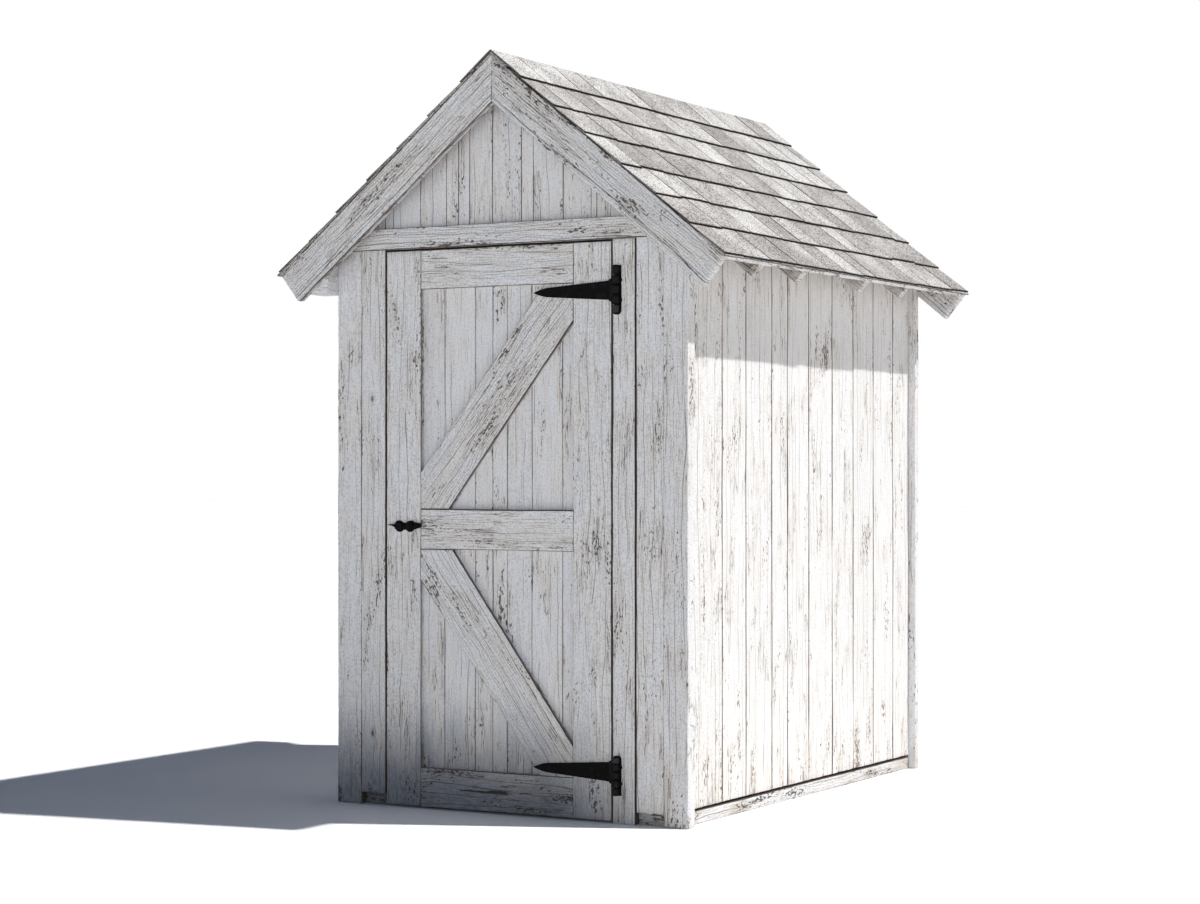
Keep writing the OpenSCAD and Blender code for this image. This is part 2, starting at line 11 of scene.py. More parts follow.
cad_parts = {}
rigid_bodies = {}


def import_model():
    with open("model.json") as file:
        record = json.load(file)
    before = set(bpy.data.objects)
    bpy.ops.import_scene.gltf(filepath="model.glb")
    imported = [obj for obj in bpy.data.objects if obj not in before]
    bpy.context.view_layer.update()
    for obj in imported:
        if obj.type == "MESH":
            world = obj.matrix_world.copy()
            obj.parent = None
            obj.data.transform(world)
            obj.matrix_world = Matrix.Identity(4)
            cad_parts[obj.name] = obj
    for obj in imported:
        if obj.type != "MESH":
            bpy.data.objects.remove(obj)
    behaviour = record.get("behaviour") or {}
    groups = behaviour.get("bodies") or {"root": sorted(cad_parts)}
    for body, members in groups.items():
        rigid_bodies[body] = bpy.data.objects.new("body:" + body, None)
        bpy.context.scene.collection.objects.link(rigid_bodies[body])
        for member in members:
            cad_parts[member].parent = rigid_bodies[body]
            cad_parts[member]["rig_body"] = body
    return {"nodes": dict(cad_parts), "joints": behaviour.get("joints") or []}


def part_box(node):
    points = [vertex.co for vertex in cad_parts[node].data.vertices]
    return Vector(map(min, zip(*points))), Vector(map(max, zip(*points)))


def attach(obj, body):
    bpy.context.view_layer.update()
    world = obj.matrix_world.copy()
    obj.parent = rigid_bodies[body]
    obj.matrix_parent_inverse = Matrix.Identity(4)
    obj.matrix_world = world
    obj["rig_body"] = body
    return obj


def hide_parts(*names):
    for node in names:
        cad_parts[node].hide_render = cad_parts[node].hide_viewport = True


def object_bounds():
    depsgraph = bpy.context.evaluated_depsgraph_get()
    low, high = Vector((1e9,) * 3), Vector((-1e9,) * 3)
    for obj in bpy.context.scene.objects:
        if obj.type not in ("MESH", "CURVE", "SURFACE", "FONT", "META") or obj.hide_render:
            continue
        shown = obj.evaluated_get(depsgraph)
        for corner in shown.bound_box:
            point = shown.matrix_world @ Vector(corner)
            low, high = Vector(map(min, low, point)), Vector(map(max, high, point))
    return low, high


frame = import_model()
cadLow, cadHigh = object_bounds()
print("frame loaded with", len(frame["nodes"]), "nodes")


# what the frame says about the pieces

touch = 0.0001       # margin for rounding
faceSlack = 0.0003   # how far off a face a corner may lie and still count as on it


def cornersOf(node):
    mesh = frame["nodes"][node].data
    points = np.empty(len(mesh.vertices) * 3)
    mesh.vertices.foreach_get("co", points)
    return points.reshape(-1, 3)


def handedCorners(node):
    # a node's corners as they would be on the right, and whether it is a left one
    mirror = "left" in node
    return cornersOf(node) * ((-1 if mirror else 1), 1, 1), mirror


def stepsIn(values, apart=0.0005):
    kept = []
    for value in sorted(values):
        if not kept or value - kept[-1] > apart:
            kept.append(float(value))
    return kept


def solidsOf(node):
    # the corners of each separate solid of a node
    corners, own = np.unique(np.round(cornersOf(node), 5), axis=0, return_inverse=True)
    faces = [own.ravel()[list(face.vertices)] for face in frame["nodes"][node].data.polygons]
    solid = np.arange(len(corners))
    while any(len(set(solid[face])) > 1 for face in faces):
        for face in faces:
            solid[face] = solid[face].min()
    solids = [corners[solid == one] for one in sorted(set(solid))]
    return sorted(solids, key=lambda points: tuple(np.round(points.min(0), 3)))


def boardsOf(node, runAxis, faceAxis, facePlace):
    # where each board of a seamed wall begins and ends, read at its foot
    points = cornersOf(node)
    points = points[abs(points[:, faceAxis] - facePlace) < faceSlack]
    points = points[points[:, 2] < points[:, 2].min() + faceSlack]
    marks = stepsIn(points[:, runAxis])
    return list(zip(marks[::2], marks[1::2]))


deckMesh = frame["nodes"]["roof_deck_right"].data
deckFace = max(deckMesh.polygons, key=lambda face: face.area)
slopeSine = math.sqrt(1 - deckFace.normal.z ** 2)
slopeCosine = abs(deckFace.normal.z)
ridgeTop = Vector((0, 0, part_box("shingles_right")[1].z))
slopeUp = Vector((slopeSine, 0, slopeCosine))
slopeDown = Vector((slopeCosine, 0, -slopeSine))


def depthOf(points):
    # how far under the right slope each corner lies
    return slopeCosine * ridgeTop.z - points @ np.array(slopeUp)


def depthsOf(points):
    # the least and greatest depth on the right half
    depths = depthOf(points[points[:, 0] >= -touch])
    return float(depths.min()), float(depths.max())


def runOf(points):
    # how far down the right slope each corner lies
    return (points - np.array(ridgeTop)) @ np.array(slopeDown)


def slopePoint(run, depth, y=0.0):
    return ridgeTop + slopeDown * run - slopeUp * depth + Vector((0, y, 0))


def cutAt(run):
    # the plane that cuts a board off so far down the right slope
    return slopeDown, slopeDown.dot(ridgeTop) + run


def underRoof(depth):
    # the two planes that cut a board off under the roof
    limit = slopeCosine * ridgeTop.z - depth
    return [(slopeUp, limit), (Vector((-slopeSine, 0, slopeCosine)), limit)]


deckTop, deckBottom = depthsOf(cornersOf("roof_deck_right"))
gableTop = depthsOf(cornersOf("front_gable"))[0]
postTop = depthsOf(cornersOf("rafters"))[1]


# shader maths

class Wire:
    # an output socket that can stand in a sum
    def __init__(self, net, socket):
        self.net = net
        self.socket = socket
        self.kind = socket.type

    def sum(self, operation, other=0.0, swap=False):
        pair = [other, self] if swap else [self, other]
        wide = any(isinstance(one, tuple) or getattr(one, "kind", "") in ("VECTOR", "RGBA") for one in pair)
        if not wide:
            return self.net.node("ShaderNodeMath", {"operation": operation}, dict(enumerate(pair)))
        pair = [(one,) * 3 if isinstance(one, (int, float)) else one for one in pair]
        return self.net.node("ShaderNodeVectorMath", {"operation": operation}, dict(enumerate(pair)))

    def __add__(self, other):
        return self.sum("ADD", other)

    def __sub__(self, other):
        return self.sum("SUBTRACT", other)

    def __rsub__(self, other):
        return self.sum("SUBTRACT", other, True)

    def __mul__(self, other):
        return self.sum("MULTIPLY", other)

    __radd__ = __add__
    __rmul__ = __mul__

    def size(self):
        return self.sum("ABSOLUTE")

    def least(self, other):
        return self.sum("MINIMUM", other)

    def most(self, other):
        return self.sum("MAXIMUM", other)

    def rise(self, low, high):
        # 0 at low and below, 1 at high and above
        return self.net.node("ShaderNodeMapRange", {"interpolation_type": "SMOOTHSTEP"},
                             {"Value": self, "From Min": low, "From Max": high})

    def fall(self, low, high):
        return 1 - self.rise(low, high)

    def to(self, other, share):
        # this colour, turning into the other one
        return self.net.node("ShaderNodeMix", {"data_type": "RGBA"},
                             {0: share, 6: self, 7: other}, 2)

    def parts(self):
        made = self.net.node("ShaderNodeSeparateXYZ", {}, {0: self})
        return [Wire(self.net, socket) for socket in made.socket.node.outputs]


class Net:
    # the node tree of a material or the world
    def __init__(self, owner):
        self.owner = owner
        owner.use_nodes = True
        self.tree = owner.node_tree
        self.tree.nodes.clear()

    def node(self, kind, settings, values, out=0):
        made = self.tree.nodes.new(kind)
        for name, setting in settings.items():
            setattr(made, name, setting)
        for name, value in values.items():
            socket = made.inputs[name]
            if isinstance(value, Wire):
                self.tree.links.new(value.socket, socket)
            elif socket.type == "RGBA":
                socket.default_value = (*value, 1.0)
            else:
                socket.default_value = value
        return Wire(self, made.outputs[out]) if made.outputs else None

    def colour(self, value):
        return self.node("ShaderNodeMix", {"data_type": "RGBA"}, {0: 0.0, 6: value, 7: value}, 2)

    def mark(self, name, out="Color"):
        return self.node("ShaderNodeAttribute", {"attribute_name": name}, {}, out)

    def fourOf(self, name):
        return *self.mark(name).parts(), self.mark(name, "Alpha")

    def vector(self, x, y, z):
        return self.node("ShaderNodeCombineXYZ", {}, {0: x, 1: y, 2: z})

    def noise(self, vector, detail=2.0, roughness=0.5, scale=1.0):
        return self.node("ShaderNodeTexNoise", {}, {"Vector": vector, "Scale": scale,
                         "Detail": detail, "Roughness": roughness})

    def cells(self, vector, out):
        return self.node("ShaderNodeTexVoronoi", {}, {"Vector": vector, "Scale": 1.0}, out)

    def finish(self, colour, roughness, height, reach, specular=0.35):
        bump = self.node("ShaderNodeBump", {}, {"Strength": 0.7, "Distance": reach, "Height": height})
        surface = self.node("ShaderNodeBsdfPrincipled", {}, {"Base Color": colour,
                            "Roughness": roughness, "Normal": bump, "Specular IOR Level": specular})
        self.node("ShaderNodeOutputMaterial", {}, {"Surface": surface})
        return self.owner


# finishes

def grainFields(net):
    # fields that follow each board's own grain, bent round its knots
    grain = net.mark("grain", "Vector")
    across, deep, along = grain.parts()
    place = grain * (7.0, 7.0, 2.6)
    off = (place - net.cells(place, "Position")) * (1 / 7.0, 1 / 7.0, 0.5 / 2.6)
    reach = net.node("ShaderNodeVectorMath", {"operation": "LENGTH"}, {0: off}, "Value")
    chosen = net.cells(place, "Color").parts()[0].rise(0.66, 0.68)
    pull = reach.fall(0.0, 0.045) * chosen
    drift = net.noise(grain * (6.0, 6.0, 1.5), 2.0) - 0.5
    bent = across + drift * 0.03 - off.parts()[0] * pull * 0.75

    def laid(perWidth, perLength, detail, roughness):
        place = net.vector(bent * perWidth, deep * perWidth, along * perLength)
        return net.noise(place, detail, roughness)

    def lines(perWidth, perLength, wander):
        # how far off the nearest of many fine lines along the grain is, and a mark of that line's own
        place = bent * perWidth + laid(15.0, perLength, 2.0, 0.5) * wander
        own = net.vector(place.sum("FLOOR") * 7.3, deep * 5.0, along * perLength)
        return (place.sum("FRACT") - 0.5).size() * (1 / perWidth), net.noise(own, 2.0)

    longOff, longOwn = lines(36.0, 2.2, 1.8)
    hairOff, hairOwn = lines(120.0, 9.0, 4.0)
    return Settings(
        patch=net.noise(grain * (12.0, 12.0, 4.0), 3.0, 0.6),
        broad=laid(34.0, 1.5, 2.0, 0.5),
        cluster=laid(19.0, 4.2, 2.0, 0.5),
        chip=laid(160.0, 66.0, 2.0, 0.5),
        long=longOff,
        longOwn=longOwn,
        hair=hairOff,
        hairOwn=hairOwn,
        gap=laid(42.0, 16.0, 1.0, 0.5),
        fine=laid(190.0, 34.0, 3.0, 0.7),
        streak=laid(230.0, 8.0, 2.0, 0.6),
        grit=net.noise(grain, 1.0, 0.5, 175.0),
        split=(laid(88.0, 3.6, 3.0, 0.55) - 0.5).size(),
        knot=reach.fall(0.003, 0.0065) * chosen,
        knotRing=reach.fall(0.005, 0.018) * chosen)


def rentMask(net, field, leftSide, footEnd):
    # one long crack of the plank's own: its place, middle, half length and half width
    place, middle, half, width = net.fourOf("rent")
    off = (leftSide - place + (field.broad - 0.5) * 0.03 + (field.fine - 0.5) * 0.006).size()
    ends = (footEnd - middle).size() + (field.gap - 0.5) * half * 1.2
    torn = (off - width * (0.4 + field.gap * 1.2)).fall(-0.0006, 0.0006)
    return torn * (ends - half).fall(-0.01, 0.01)


paintLook = {
    # the white is bluish: a painted tint of the shade on the front
    "white": (0.868, 0.888, 0.93),
    "warm": (0.87, 0.847, 0.822),
    "thin": (0.33, 0.305, 0.285),
    "stain": (0.50, 0.44, 0.38),
    # painted shade: bluish dark for the paint at the foot on the left, where the shed's shadow lies on the
    # floor
    "footDirt": (0.098, 0.112, 0.142),
    "wood": (0.15, 0.122, 0.102),       # where the paint has gone
    "ring": (0.05, 0.04, 0.034),
    "bare": (0.34, 0.285, 0.235),       # where there never was any
    "bareRing": (0.16, 0.128, 0.104),
    "split": (0.03, 0.023, 0.02),
    "seam": (0.085, 0.064, 0.052),
}
# a lighter, warmer copy with fainter marks for the sunlit side walls: painted sunlight
sunnyLook = dict(paintLook, white=(0.885, 0.89, 0.905), warm=(0.88, 0.865, 0.845),
                 thin=(0.52, 0.465, 0.42), stain=(0.74, 0.68, 0.62), wood=(0.26, 0.16, 0.11),
                 seam=(0.22, 0.165, 0.13))
timberLook = dict(paintLook, wood=(0.42, 0.355, 0.29), ring=(0.185, 0.15, 0.122),
                  bare=(0.42, 0.355, 0.29), bareRing=(0.185, 0.15, 0.122))


def flakedPaint(name, look):
    look = Settings(**look)
    net = Net(bpy.data.materials.new(name))
    field = grainFields(net)
    leftSide, rightSide, footEnd, headEnd = net.fourOf("span")
    tone, wear, coat, seam = net.fourOf("trait")
    patch, cluster, fine, gap = field.patch, field.cluster, field.fine, field.gap
    place = net.node("ShaderNodeTexCoord", {}, {}, "Object").parts()
    # towards the foot: more wear and stains, and at the left foot painted shade where the shed's shadow
    # lies on the floor
    footDampAndShade = (place[2] + (patch - 0.5) * 0.25).fall(0.02, 0.4)
    paintedFootShade = footDampAndShade * (1 - place[0].rise(0.15, 0.6))
    worn = (cluster - 0.5) * 1.05 + wear * 0.075 + footDampAndShade * 0.05
    rim = leftSide.least(rightSide).least(footEnd).least(headEnd)
    crack = field.split.fall(0.004, 0.013) * (patch + worn * 0.5).rise(0.55, 0.6)
    rent = rentMask(net, field, leftSide, footEnd)
    lined = (field.longOwn + gap * 0.2 + wear * 0.12).rise(0.62, 0.7)
    line = field.long.fall(0.0003, 0.0012) * lined
    joint = (seam * (0.0016 + gap * 0.0012) - leftSide.least(rightSide)).rise(0.0, 0.001)
    hurt = crack.most(field.knot * 0.8).most(rent).most(line * 0.8)

    rings = field.broad * 0.5 + fine * 0.35 + patch * 0.35
    wood = net.colour(look.wood).to(look.bare, 1 - coat)
    ring = net.colour(look.ring).to(look.bareRing, 1 - coat)
    wood = wood.to(ring, rings.rise(0.45, 0.78)) * (0.72 + tone * 0.5)
    wood = wood.to(look.split, hurt * 0.85)
    # darker at the cut ends, and painted shade at the foot on the left
    wood = wood * (1 - footEnd.least(headEnd).fall(0.0006, 0.0022) * 0.3) * (1 - paintedFootShade * 0.7)

    hair = field.hair.fall(0.0002, 0.0008) * (field.hairOwn + wear * 0.12).rise(0.54, 0.6)
    thin = hair * 0.7 + fine.rise(0.52, 0.85) * 0.3 + field.streak.rise(0.45, 0.8) * 0.25
    thin = thin + field.grit.rise(0.4, 0.8) * 0.42 + field.knotRing * 0.3
    paint = net.colour(look.white).to(look.warm, (patch + field.streak * 0.5).rise(0.55, 0.95))
    paint = paint.to(look.thin, thin * (0.75 + wear * 0.5))
    splash = footDampAndShade * (patch + field.broad * 0.3).rise(0.55, 0.85) * 0.5
    paint = paint.to(look.stain, (worn + field.broad * 0.5).rise(0.25, 0.8) * 0.3 + splash)
    # painted shade: the paint turns bluish dark at the foot on the left
    paint = paint.to(look.footDirt, paintedFootShade * (0.62 + fine * 0.6) * 0.96)
    paint = paint * (0.96 + tone * 0.05)

    chip = (field.chip + worn + rim.fall(0.0006, 0.006) * 0.04).rise(0.79, 0.815)
    cover = (1 - hurt * 0.93) * (1 - chip * 0.9) * coat
    relief = fine * 0.3 - hair * 0.3 - hurt * 0.4 + cover * 0.6
    colour = wood.to(paint, cover).to(look.seam, joint)
    # over 1.2 the joint turns near black: a painted shadow line in the gap
    colour = colour.to(look.split, joint * seam.rise(1.2, 1.6))
    return net.finish(colour, 0.84 - cover * 0.26, relief, 0.0013)


shingleLook = {
    "pale": (0.81, 0.79, 0.77),
    "mid": (0.47, 0.45, 0.43),
    "dark": (0.075, 0.062, 0.054),
    # near black: painted shade on each course's butt
    "butt": (0.012, 0.0095, 0.008),
}


def weatheredShingle(name, look):
    look = Settings(**look)
    net = Net(bpy.data.materials.new(name))
    grain = net.mark("grain", "Vector")
    leftSide, rightSide, footEnd, headEnd = net.fourOf("span")
    tone, wear, coat = net.mark("trait").parts()
    cloud = net.noise(grain * (7.0, 7.0, 7.0), 2.0, 0.5)
    mottle = net.noise(grain, 2.0, 0.6, 60.0)
    speckle = net.noise(grain, 3.0, 0.8, 120.0)
    sand = net.noise(grain, 1.0, 0.5, 250.0)
    streak = net.noise(grain * (80.0, 80.0, 9.0), 3.0, 0.6)
    light = (tone - 0.5) * 0.7 + 0.15 + (cloud - 0.5) * 1.3
    light = light + (mottle - 0.5) * 0.8 + (streak - 0.5) * 0.25
    colour = net.colour(look.mid).to(look.pale, light.rise(-0.4, 0.75))
    grit = (speckle - 0.5) * 1.6 + (sand - 0.5) * 2.8 + (mottle - 0.5) * 0.6 - (cloud - 0.5) * 0.5
    colour = colour.to(look.dark, (grit - tone * 0.08).rise(0.0, 0.26) * 0.88)
    colour = colour.to(look.pale, (speckle * 0.6 + sand * 0.4).fall(0.36, 0.46) * 0.6)
    sideRim = leftSide.least(rightSide).fall(0.0008, 0.0026 + wear * 0.0026)
    colour = colour.to(look.dark, sideRim * (0.4 + wear * 0.6))
    # darker towards the butt and near black at the butt itself: painted shade for the dark course lines
    colour = colour.to(look.dark, headEnd.fall(0.002, 0.012) * 0.25)
    colour = colour.to(look.butt, headEnd.fall(0.0022, 0.004 + mottle * 0.004) * coat)
    relief = speckle * 0.6 + streak * 0.25 + mottle * 0.5
    return net.finish(colour, 0.9, relief, 0.0018, 0.25)


ironLook = {
    "black": (0.0058, 0.0058, 0.006),
    "rubbed": (0.055, 0.053, 0.052),
    "rust": (0.06, 0.04, 0.03),
}


def forgedIron(name, look):
    look = Settings(**look)
    net = Net(bpy.data.materials.new(name))
    place = net.node("ShaderNodeTexCoord", {}, {}, "Object")
    pitted = net.noise(place, 3.0, 0.6, 260.0)
    worn = net.noise(place, 4.0, 0.6, 42.0)
    rub = net.mark("trait").parts()[0]
    # lighter where worn, and a painted highlight where the piece's mark is set
    colour = net.colour(look.black).to(look.rubbed, worn.rise(0.5, 0.75) * 0.12 + rub)
    colour = colour.to(look.rust, (worn * pitted * 2).rise(0.62, 0.8) * 0.25)
    return net.finish(colour, 0.6 + pitted * 0.2, pitted * 0.6 + worn * 0.5, 0.0009, 0.04)


paintFinish = flakedPaint("flakedWhitePaint", paintLook)
sunnyFinish = flakedPaint("paintedSunlightWhitePaint", sunnyLook)
timberFinish = flakedPaint("weatheredTimber", timberLook)
shingleFinish = weatheredShingle("weatheredShingle", shingleLook)
ironFinish = forgedIron("blackIron", ironLook)
print("finishes made")


# planks

beyond = 9.0               # past the end of every plank
fullTurn = 6.283
plankLook = {
    "arris": 0.0016,       # radius of the worn long edges
    "guard": 0.003,        # flat margin that keeps the arris shading narrow
    "column": 0.024,       # mesh spacing over the width
    "row": 0.018,          # and along the grain
    "waver": 0.0008,       # how far the long edges wander
    "bow": 0.0007,         # how far the face wanders
    "chip": 0.0022,        # deepest chip out of an arris
    "ragLow": 0.001,       # raggedness of the two ends
    "ragHigh": 0.001,
    "tight": 0.0004,       # how much each plank gives up at its joints
    "tone": (0.2, 0.9),
    "wear": (0.2, 0.6),
    "coat": 1.0,           # paint on the seen face and on the back
    "backCoat": 0.0,
    "coatFrom": None,      # how far from its upper end the paint begins, where only that end has some
    "seam": (0.0, 0.0),    # how wide and dark its left and right joints look; over 1.2 they turn near black, a painted shadow line
    "rent": (0.0, -beyond, 0.0, 0.0),   # one long crack: place, middle, half length and half width
    "headThickness": None,              # thickness at the start, where a plank tapers
}
paintedLook = dict(plankLook, backCoat=1.0)
wornCut = {
    "swings": ((1.1, 0.55), (0.43, 0.3), (0.15, 0.15)),   # length and share of the bends in a long edge
    "spacing": 0.0008,     # least distance between the mesh lines along a plank
    "chipPitch": 34,       # how often an arris is chipped along the grain
    "chipSwell": 9,        # and how often more deeply
    "chipWhole": 0.12,     # how much of the arris stays whole
    "chipRing": (0.35, 1.0, 0.35),   # share of a chip at the three corners of an arris
    "chipInward": 0.8,
    "ragPitch": 55,        # how often an end is ragged over the width
    "fibrePitch": 190,     # and how often in single fibres
    "ragReach": 0.02,      # how far a ragged end is felt along the grain
}
worn = Settings(**wornCut)


def noiseAt(x, y, z):
    return noise.noise(Vector((x, y, z)))


def quarterTurns(steps):
    return [math.pi / 2 * step / steps for step in range(steps + 1)]


def halfRing(width, look, crossings):
    # the seen half of a plank's section, from its left side to its right side
    arris = look.arris
    bend = [(arris * (1 - math.cos(turn)), arris * (1 - math.sin(turn))) for turn in quarterTurns(2)]
    inner = width - 2 * arris
    count = max(2, round(inner / look.column))
    marks = [arris + inner * step / count for step in range(1, count)]
    marks += [arris + look.guard, width - arris - look.guard]
    marks += [place for place in crossings if 2 * arris < place < width - 2 * arris]
    flat = [(place, 0.0) for place in stepsIn(marks, worn.spacing)]
    return np.array(bend + flat + [(width - x, y) for x, y in reversed(bend)])


def crossingsOf(bounds):
    # where over a plank's width two of the planes that cut the same end meet
    found = []
    for index, (run, limit, perX, perY) in enumerate(bounds):
        for otherRun, otherLimit, otherX, otherY in bounds[:index]:
            slope = perX / run - otherX / otherRun
            if run * otherRun > 0 and abs(slope) > 1e-6:
                found.append((limit / run - otherLimit / otherRun) / slope)
    return found


class Joinery:
    # the planks of one piece, gathered into a single mesh
    def __init__(self, node, finish, slot):
        self.node, self.finish, self.slot = node, finish, slot
        self.dice = random.Random("planks of " + node)
        self.quads = []
        self.marks = {}
        self.count = 0

    def plank(self, corner, along, depth, width, thickness, planes, look, mirror=False):
        # x runs over the plank's width, y into it and z along its grain
        along, depth, corner = Vector(along), Vector(depth), Vector(corner)
        across = depth.cross(along)
        look = Settings(**look)
        arris = look.arris
        dice = self.dice
        bounds = [(plane.dot(along), limit - plane.dot(corner), plane.dot(across), plane.dot(depth))
                  for plane, limit in planes]
        half = halfRing(width, look, crossingsOf(bounds))
        seen = len(half)
        ring = np.vstack([half, half[::-1] * (1, -1) + (0, thickness)])
        size = len(ring)
        low, high = np.full(size, -beyond), np.full(size, beyond)
        for run, limit, perX, perY in bounds:
            bound = (limit - perX * ring[:, 0] - perY * ring[:, 1]) / run
            if run > 0:
                high = np.minimum(high, bound)
            else:
                low = np.maximum(low, bound)
        rows = max(2, round(float(high.max() - low.min()) / look.row))

        def rowsOf(places, extent):
            cap = extent / 2 + (places - extent / 2) * (1 - 2 * arris / extent)
            return np.vstack([cap, np.repeat(places[None], rows + 1, 0), cap])

        x, y = rowsOf(ring[:, 0], width), rowsOf(ring[:, 1], thickness)
        share = np.linspace(0, 1, rows + 1)[:, None]
        z = np.vstack([low, low + arris + (high - low - 2 * arris) * share, high])
        flat = np.stack([x, y, z], -1).reshape(-1, 3)

        waves = [[(dice.uniform(0, 6.28), dice.uniform(0.75, 1.3)) for _ in worn.swings] for _ in range(4)]
        seed = dice.uniform(0, 400)

        def wander(which, place):
            return sum(amount * np.sin(place * fullTurn * stretch / length + phase)
                       for (phase, stretch), (length, amount) in zip(waves[which], worn.swings))

        def ragged(end):
            return np.array([abs(noiseAt(place * worn.ragPitch, seed + end, inside * 20)) * 0.9
                             + abs(noiseAt(place * worn.fibrePitch, seed + end, 9.0)) * 0.5
                             for place, inside in ring])

        middle = z.mean(1)[:, None]
        part = x / width
        x = x + look.waver * (wander(0, middle) * (1 - part) + wander(1, middle) * part)
        y = y + look.bow * (wander(2, middle) + (2 * part - 1) ** 2 * wander(3, middle))
        if look.headThickness is not None:
            taper = 1 - np.clip((z - low.min()) / (high.max() - low.min()), 0, 1)
            y[:, seen:] -= ((thickness - look.headThickness) * taper)[:, seen:]
        for row, place in enumerate(z.mean(1)):
            for side, sign, first in ((0.0, 1, 0), (37.0, -1, seen - 1)):
                bite = (noiseAt(place * worn.chipPitch, seed + side, 0.0)
                        + 0.6 * noiseAt(place * worn.chipSwell, seed - side, 4.0))
                bite = look.chip * max(0.0, bite - worn.chipWhole)
                for step, amount in enumerate(worn.chipRing):
                    x[row, first + sign * step] += sign * bite * amount
                    y[row, first + sign * step] += bite * amount * worn.chipInward
        z = z + look.ragLow * ragged(0) * np.exp((low - z) / worn.ragReach)
        z = z - look.ragHigh * ragged(60) * np.exp((z - high) / worn.ragReach)

        world = np.array(corner) + np.stack([x, y, z], -1).reshape(-1, 3) @ np.array([across, depth, along])
        ids = self.count + np.arange(len(world)).reshape(-1, size)
        turn = np.roll(ids, -1, 1)
        front = np.arange(seen - 1)
        rear = size - 1 - front
        quads = np.vstack([
            np.stack([ids[:-1], turn[:-1], turn[1:], ids[1:]], -1).reshape(-1, 4),
            np.stack([ids[0, front], ids[0, rear], ids[0, rear - 1], ids[0, front + 1]], -1),
            np.stack([ids[-1, front], ids[-1, front + 1], ids[-1, rear - 1], ids[-1, rear]], -1)])
        if mirror:
            world[:, 0] *= -1
            quads = quads[:, ::-1]
        self.quads.append(quads)
        self.count += len(world)

        shift = [dice.uniform(0, 20) for _ in range(3)]
        tone, wear = dice.uniform(*look.tone), dice.uniform(*look.wear)
        lowEnd, highEnd = np.tile(low, rows + 3), np.tile(high, rows + 3)
        coat = np.tile(np.where(np.arange(size) < seen, look.coat, look.backCoat), rows + 3)
        if look.coatFrom is not None:
            coat[flat[:, 2] > highEnd - look.coatFrom] = 1
        seam = np.where(flat[:, 0] < width / 2, *look.seam) * (flat[:, 1] < arris + touch)
        even = np.ones(len(flat))
        made = {
            "place": world,
            "grain": flat + shift,
            "span": np.stack([flat[:, 0], width - flat[:, 0],
                              flat[:, 2] - lowEnd, highEnd - flat[:, 2]], -1),
            "trait": np.stack([even * tone, even * wear, coat, seam], -1),
            "rent": np.outer(even, look.rent),
        }
        for mark, values in made.items():
            self.marks.setdefault(mark, []).append(values)

    def timber(self, low, high, along, seen, look, planes=(), mirror=False):
        # a plank that fills a box, squeezed a little where it meets its neighbours
        depth = -seen
        across = depth.cross(along)
        toward = along + depth + across
        corner = Vector([low[i] if toward[i] > 0 else high[i] for i in range(3)])
        low, high = Vector(low), Vector(high)
        size = high - low
        tight = look["tight"]
        ends = sorted((along.dot(low), along.dot(high)))
        planes = [(along, ends[1] - tight), (-along, -ends[0] - tight), *planes]
        self.plank(corner + across * tight, along, depth, abs(size.dot(across)) - 2 * tight,
                   abs(size.dot(depth)), planes, look, mirror)

    def done(self):
        mesh = bpy.data.meshes.new(camelName(self.node))
        places = np.vstack(self.marks.pop("place"))
        mesh.from_pydata(places.tolist(), [], np.vstack(self.quads).tolist())
        for mark, rows in self.marks.items():
            kind, key = ("FLOAT_VECTOR", "vector") if mark == "grain" else ("FLOAT_COLOR", "color")
            mesh.attributes.new(mark, kind, "POINT").data.foreach_set(key, np.vstack(rows).ravel())
        standFor(self.node, mesh, self.finish, 50)


def camelName(node):
    words = node.split("_")
    return words[0] + "".join(word.capitalize() for word in words[1:])


def placed(name, data):
    made = bpy.data.objects.new(name, data)
    bpy.context.scene.collection.objects.link(made)
    return made


def standFor(node, mesh, finish, creaseAngle):
    mesh.shade_smooth()
    mesh.set_sharp_from_angle(angle=math.radians(creaseAngle))
    mesh.materials.append(finish)
    piece = placed(camelName(node), mesh)
    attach(piece, frame["nodes"][node]["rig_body"])
    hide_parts(node)


def handed(node):
    # the node's box as it would be on the right, and whether it is a left one
    low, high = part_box(node)
    if "left" not in node:
        return Vector(low), Vector(high), False
    return Vector((-high.x, low.y, low.z)), Vector((-low.x, high.y, high.z)), True


xAxis, yAxis, zAxis = Vector((1, 0, 0)), Vector((0, 1, 0)), Vector((0, 0, 1))
painted = (paintFinish, "white_boards")
paintedSunlight = (sunnyFinish, "white_boards")
bare = (timberFinish, "bare_timber")


def buildSingle(node, kind, along, seen, look, planes=()):
    # a piece of one plank
    low, high, mirror = handed(node)
    piece = Joinery(node, *kind)
    piece.timber(low, high, along, seen, look, planes, mirror)
    piece.done()


def buildSticks(node, kind, fit):
    # a plank for each solid of a node, where fit tells its grain, seen side, look and cuts
    piece = Joinery(node, *kind)
    for solid in solidsOf(node):
        low, high = solid.min(0), solid.max(0)
        piece.timber(low, high, *fit(low, high))
    piece.done()


# base, floor and inner frame

innerLook = dict(plankLook, row=0.09, column=0.05, waver=0.0012, chip=0.0012, arris=0.0022, coat=0.0,
                 tone=(0.35, 0.9))
sillLook = dict(innerLook, tight=0.0012)
# the plinth boards are darkened: painted shade in their recess under the front
plinthLook = dict(sillLook, row=0.02, tone=(-0.9, -0.8), wear=(1.2, 1.4), coat=0.7)
plinthLength = 0.2         # the base's solids that are shorter are its plinth boards, darkened as painted shade
# the skirt's top joint is near black: a painted shadow line under the wall boards
skirtLook = dict(paintedLook, wear=(0.9, 1.0), tone=(-0.6, -0.4), chip=0.003, tight=0.0008, seam=(1.4, 0.0))


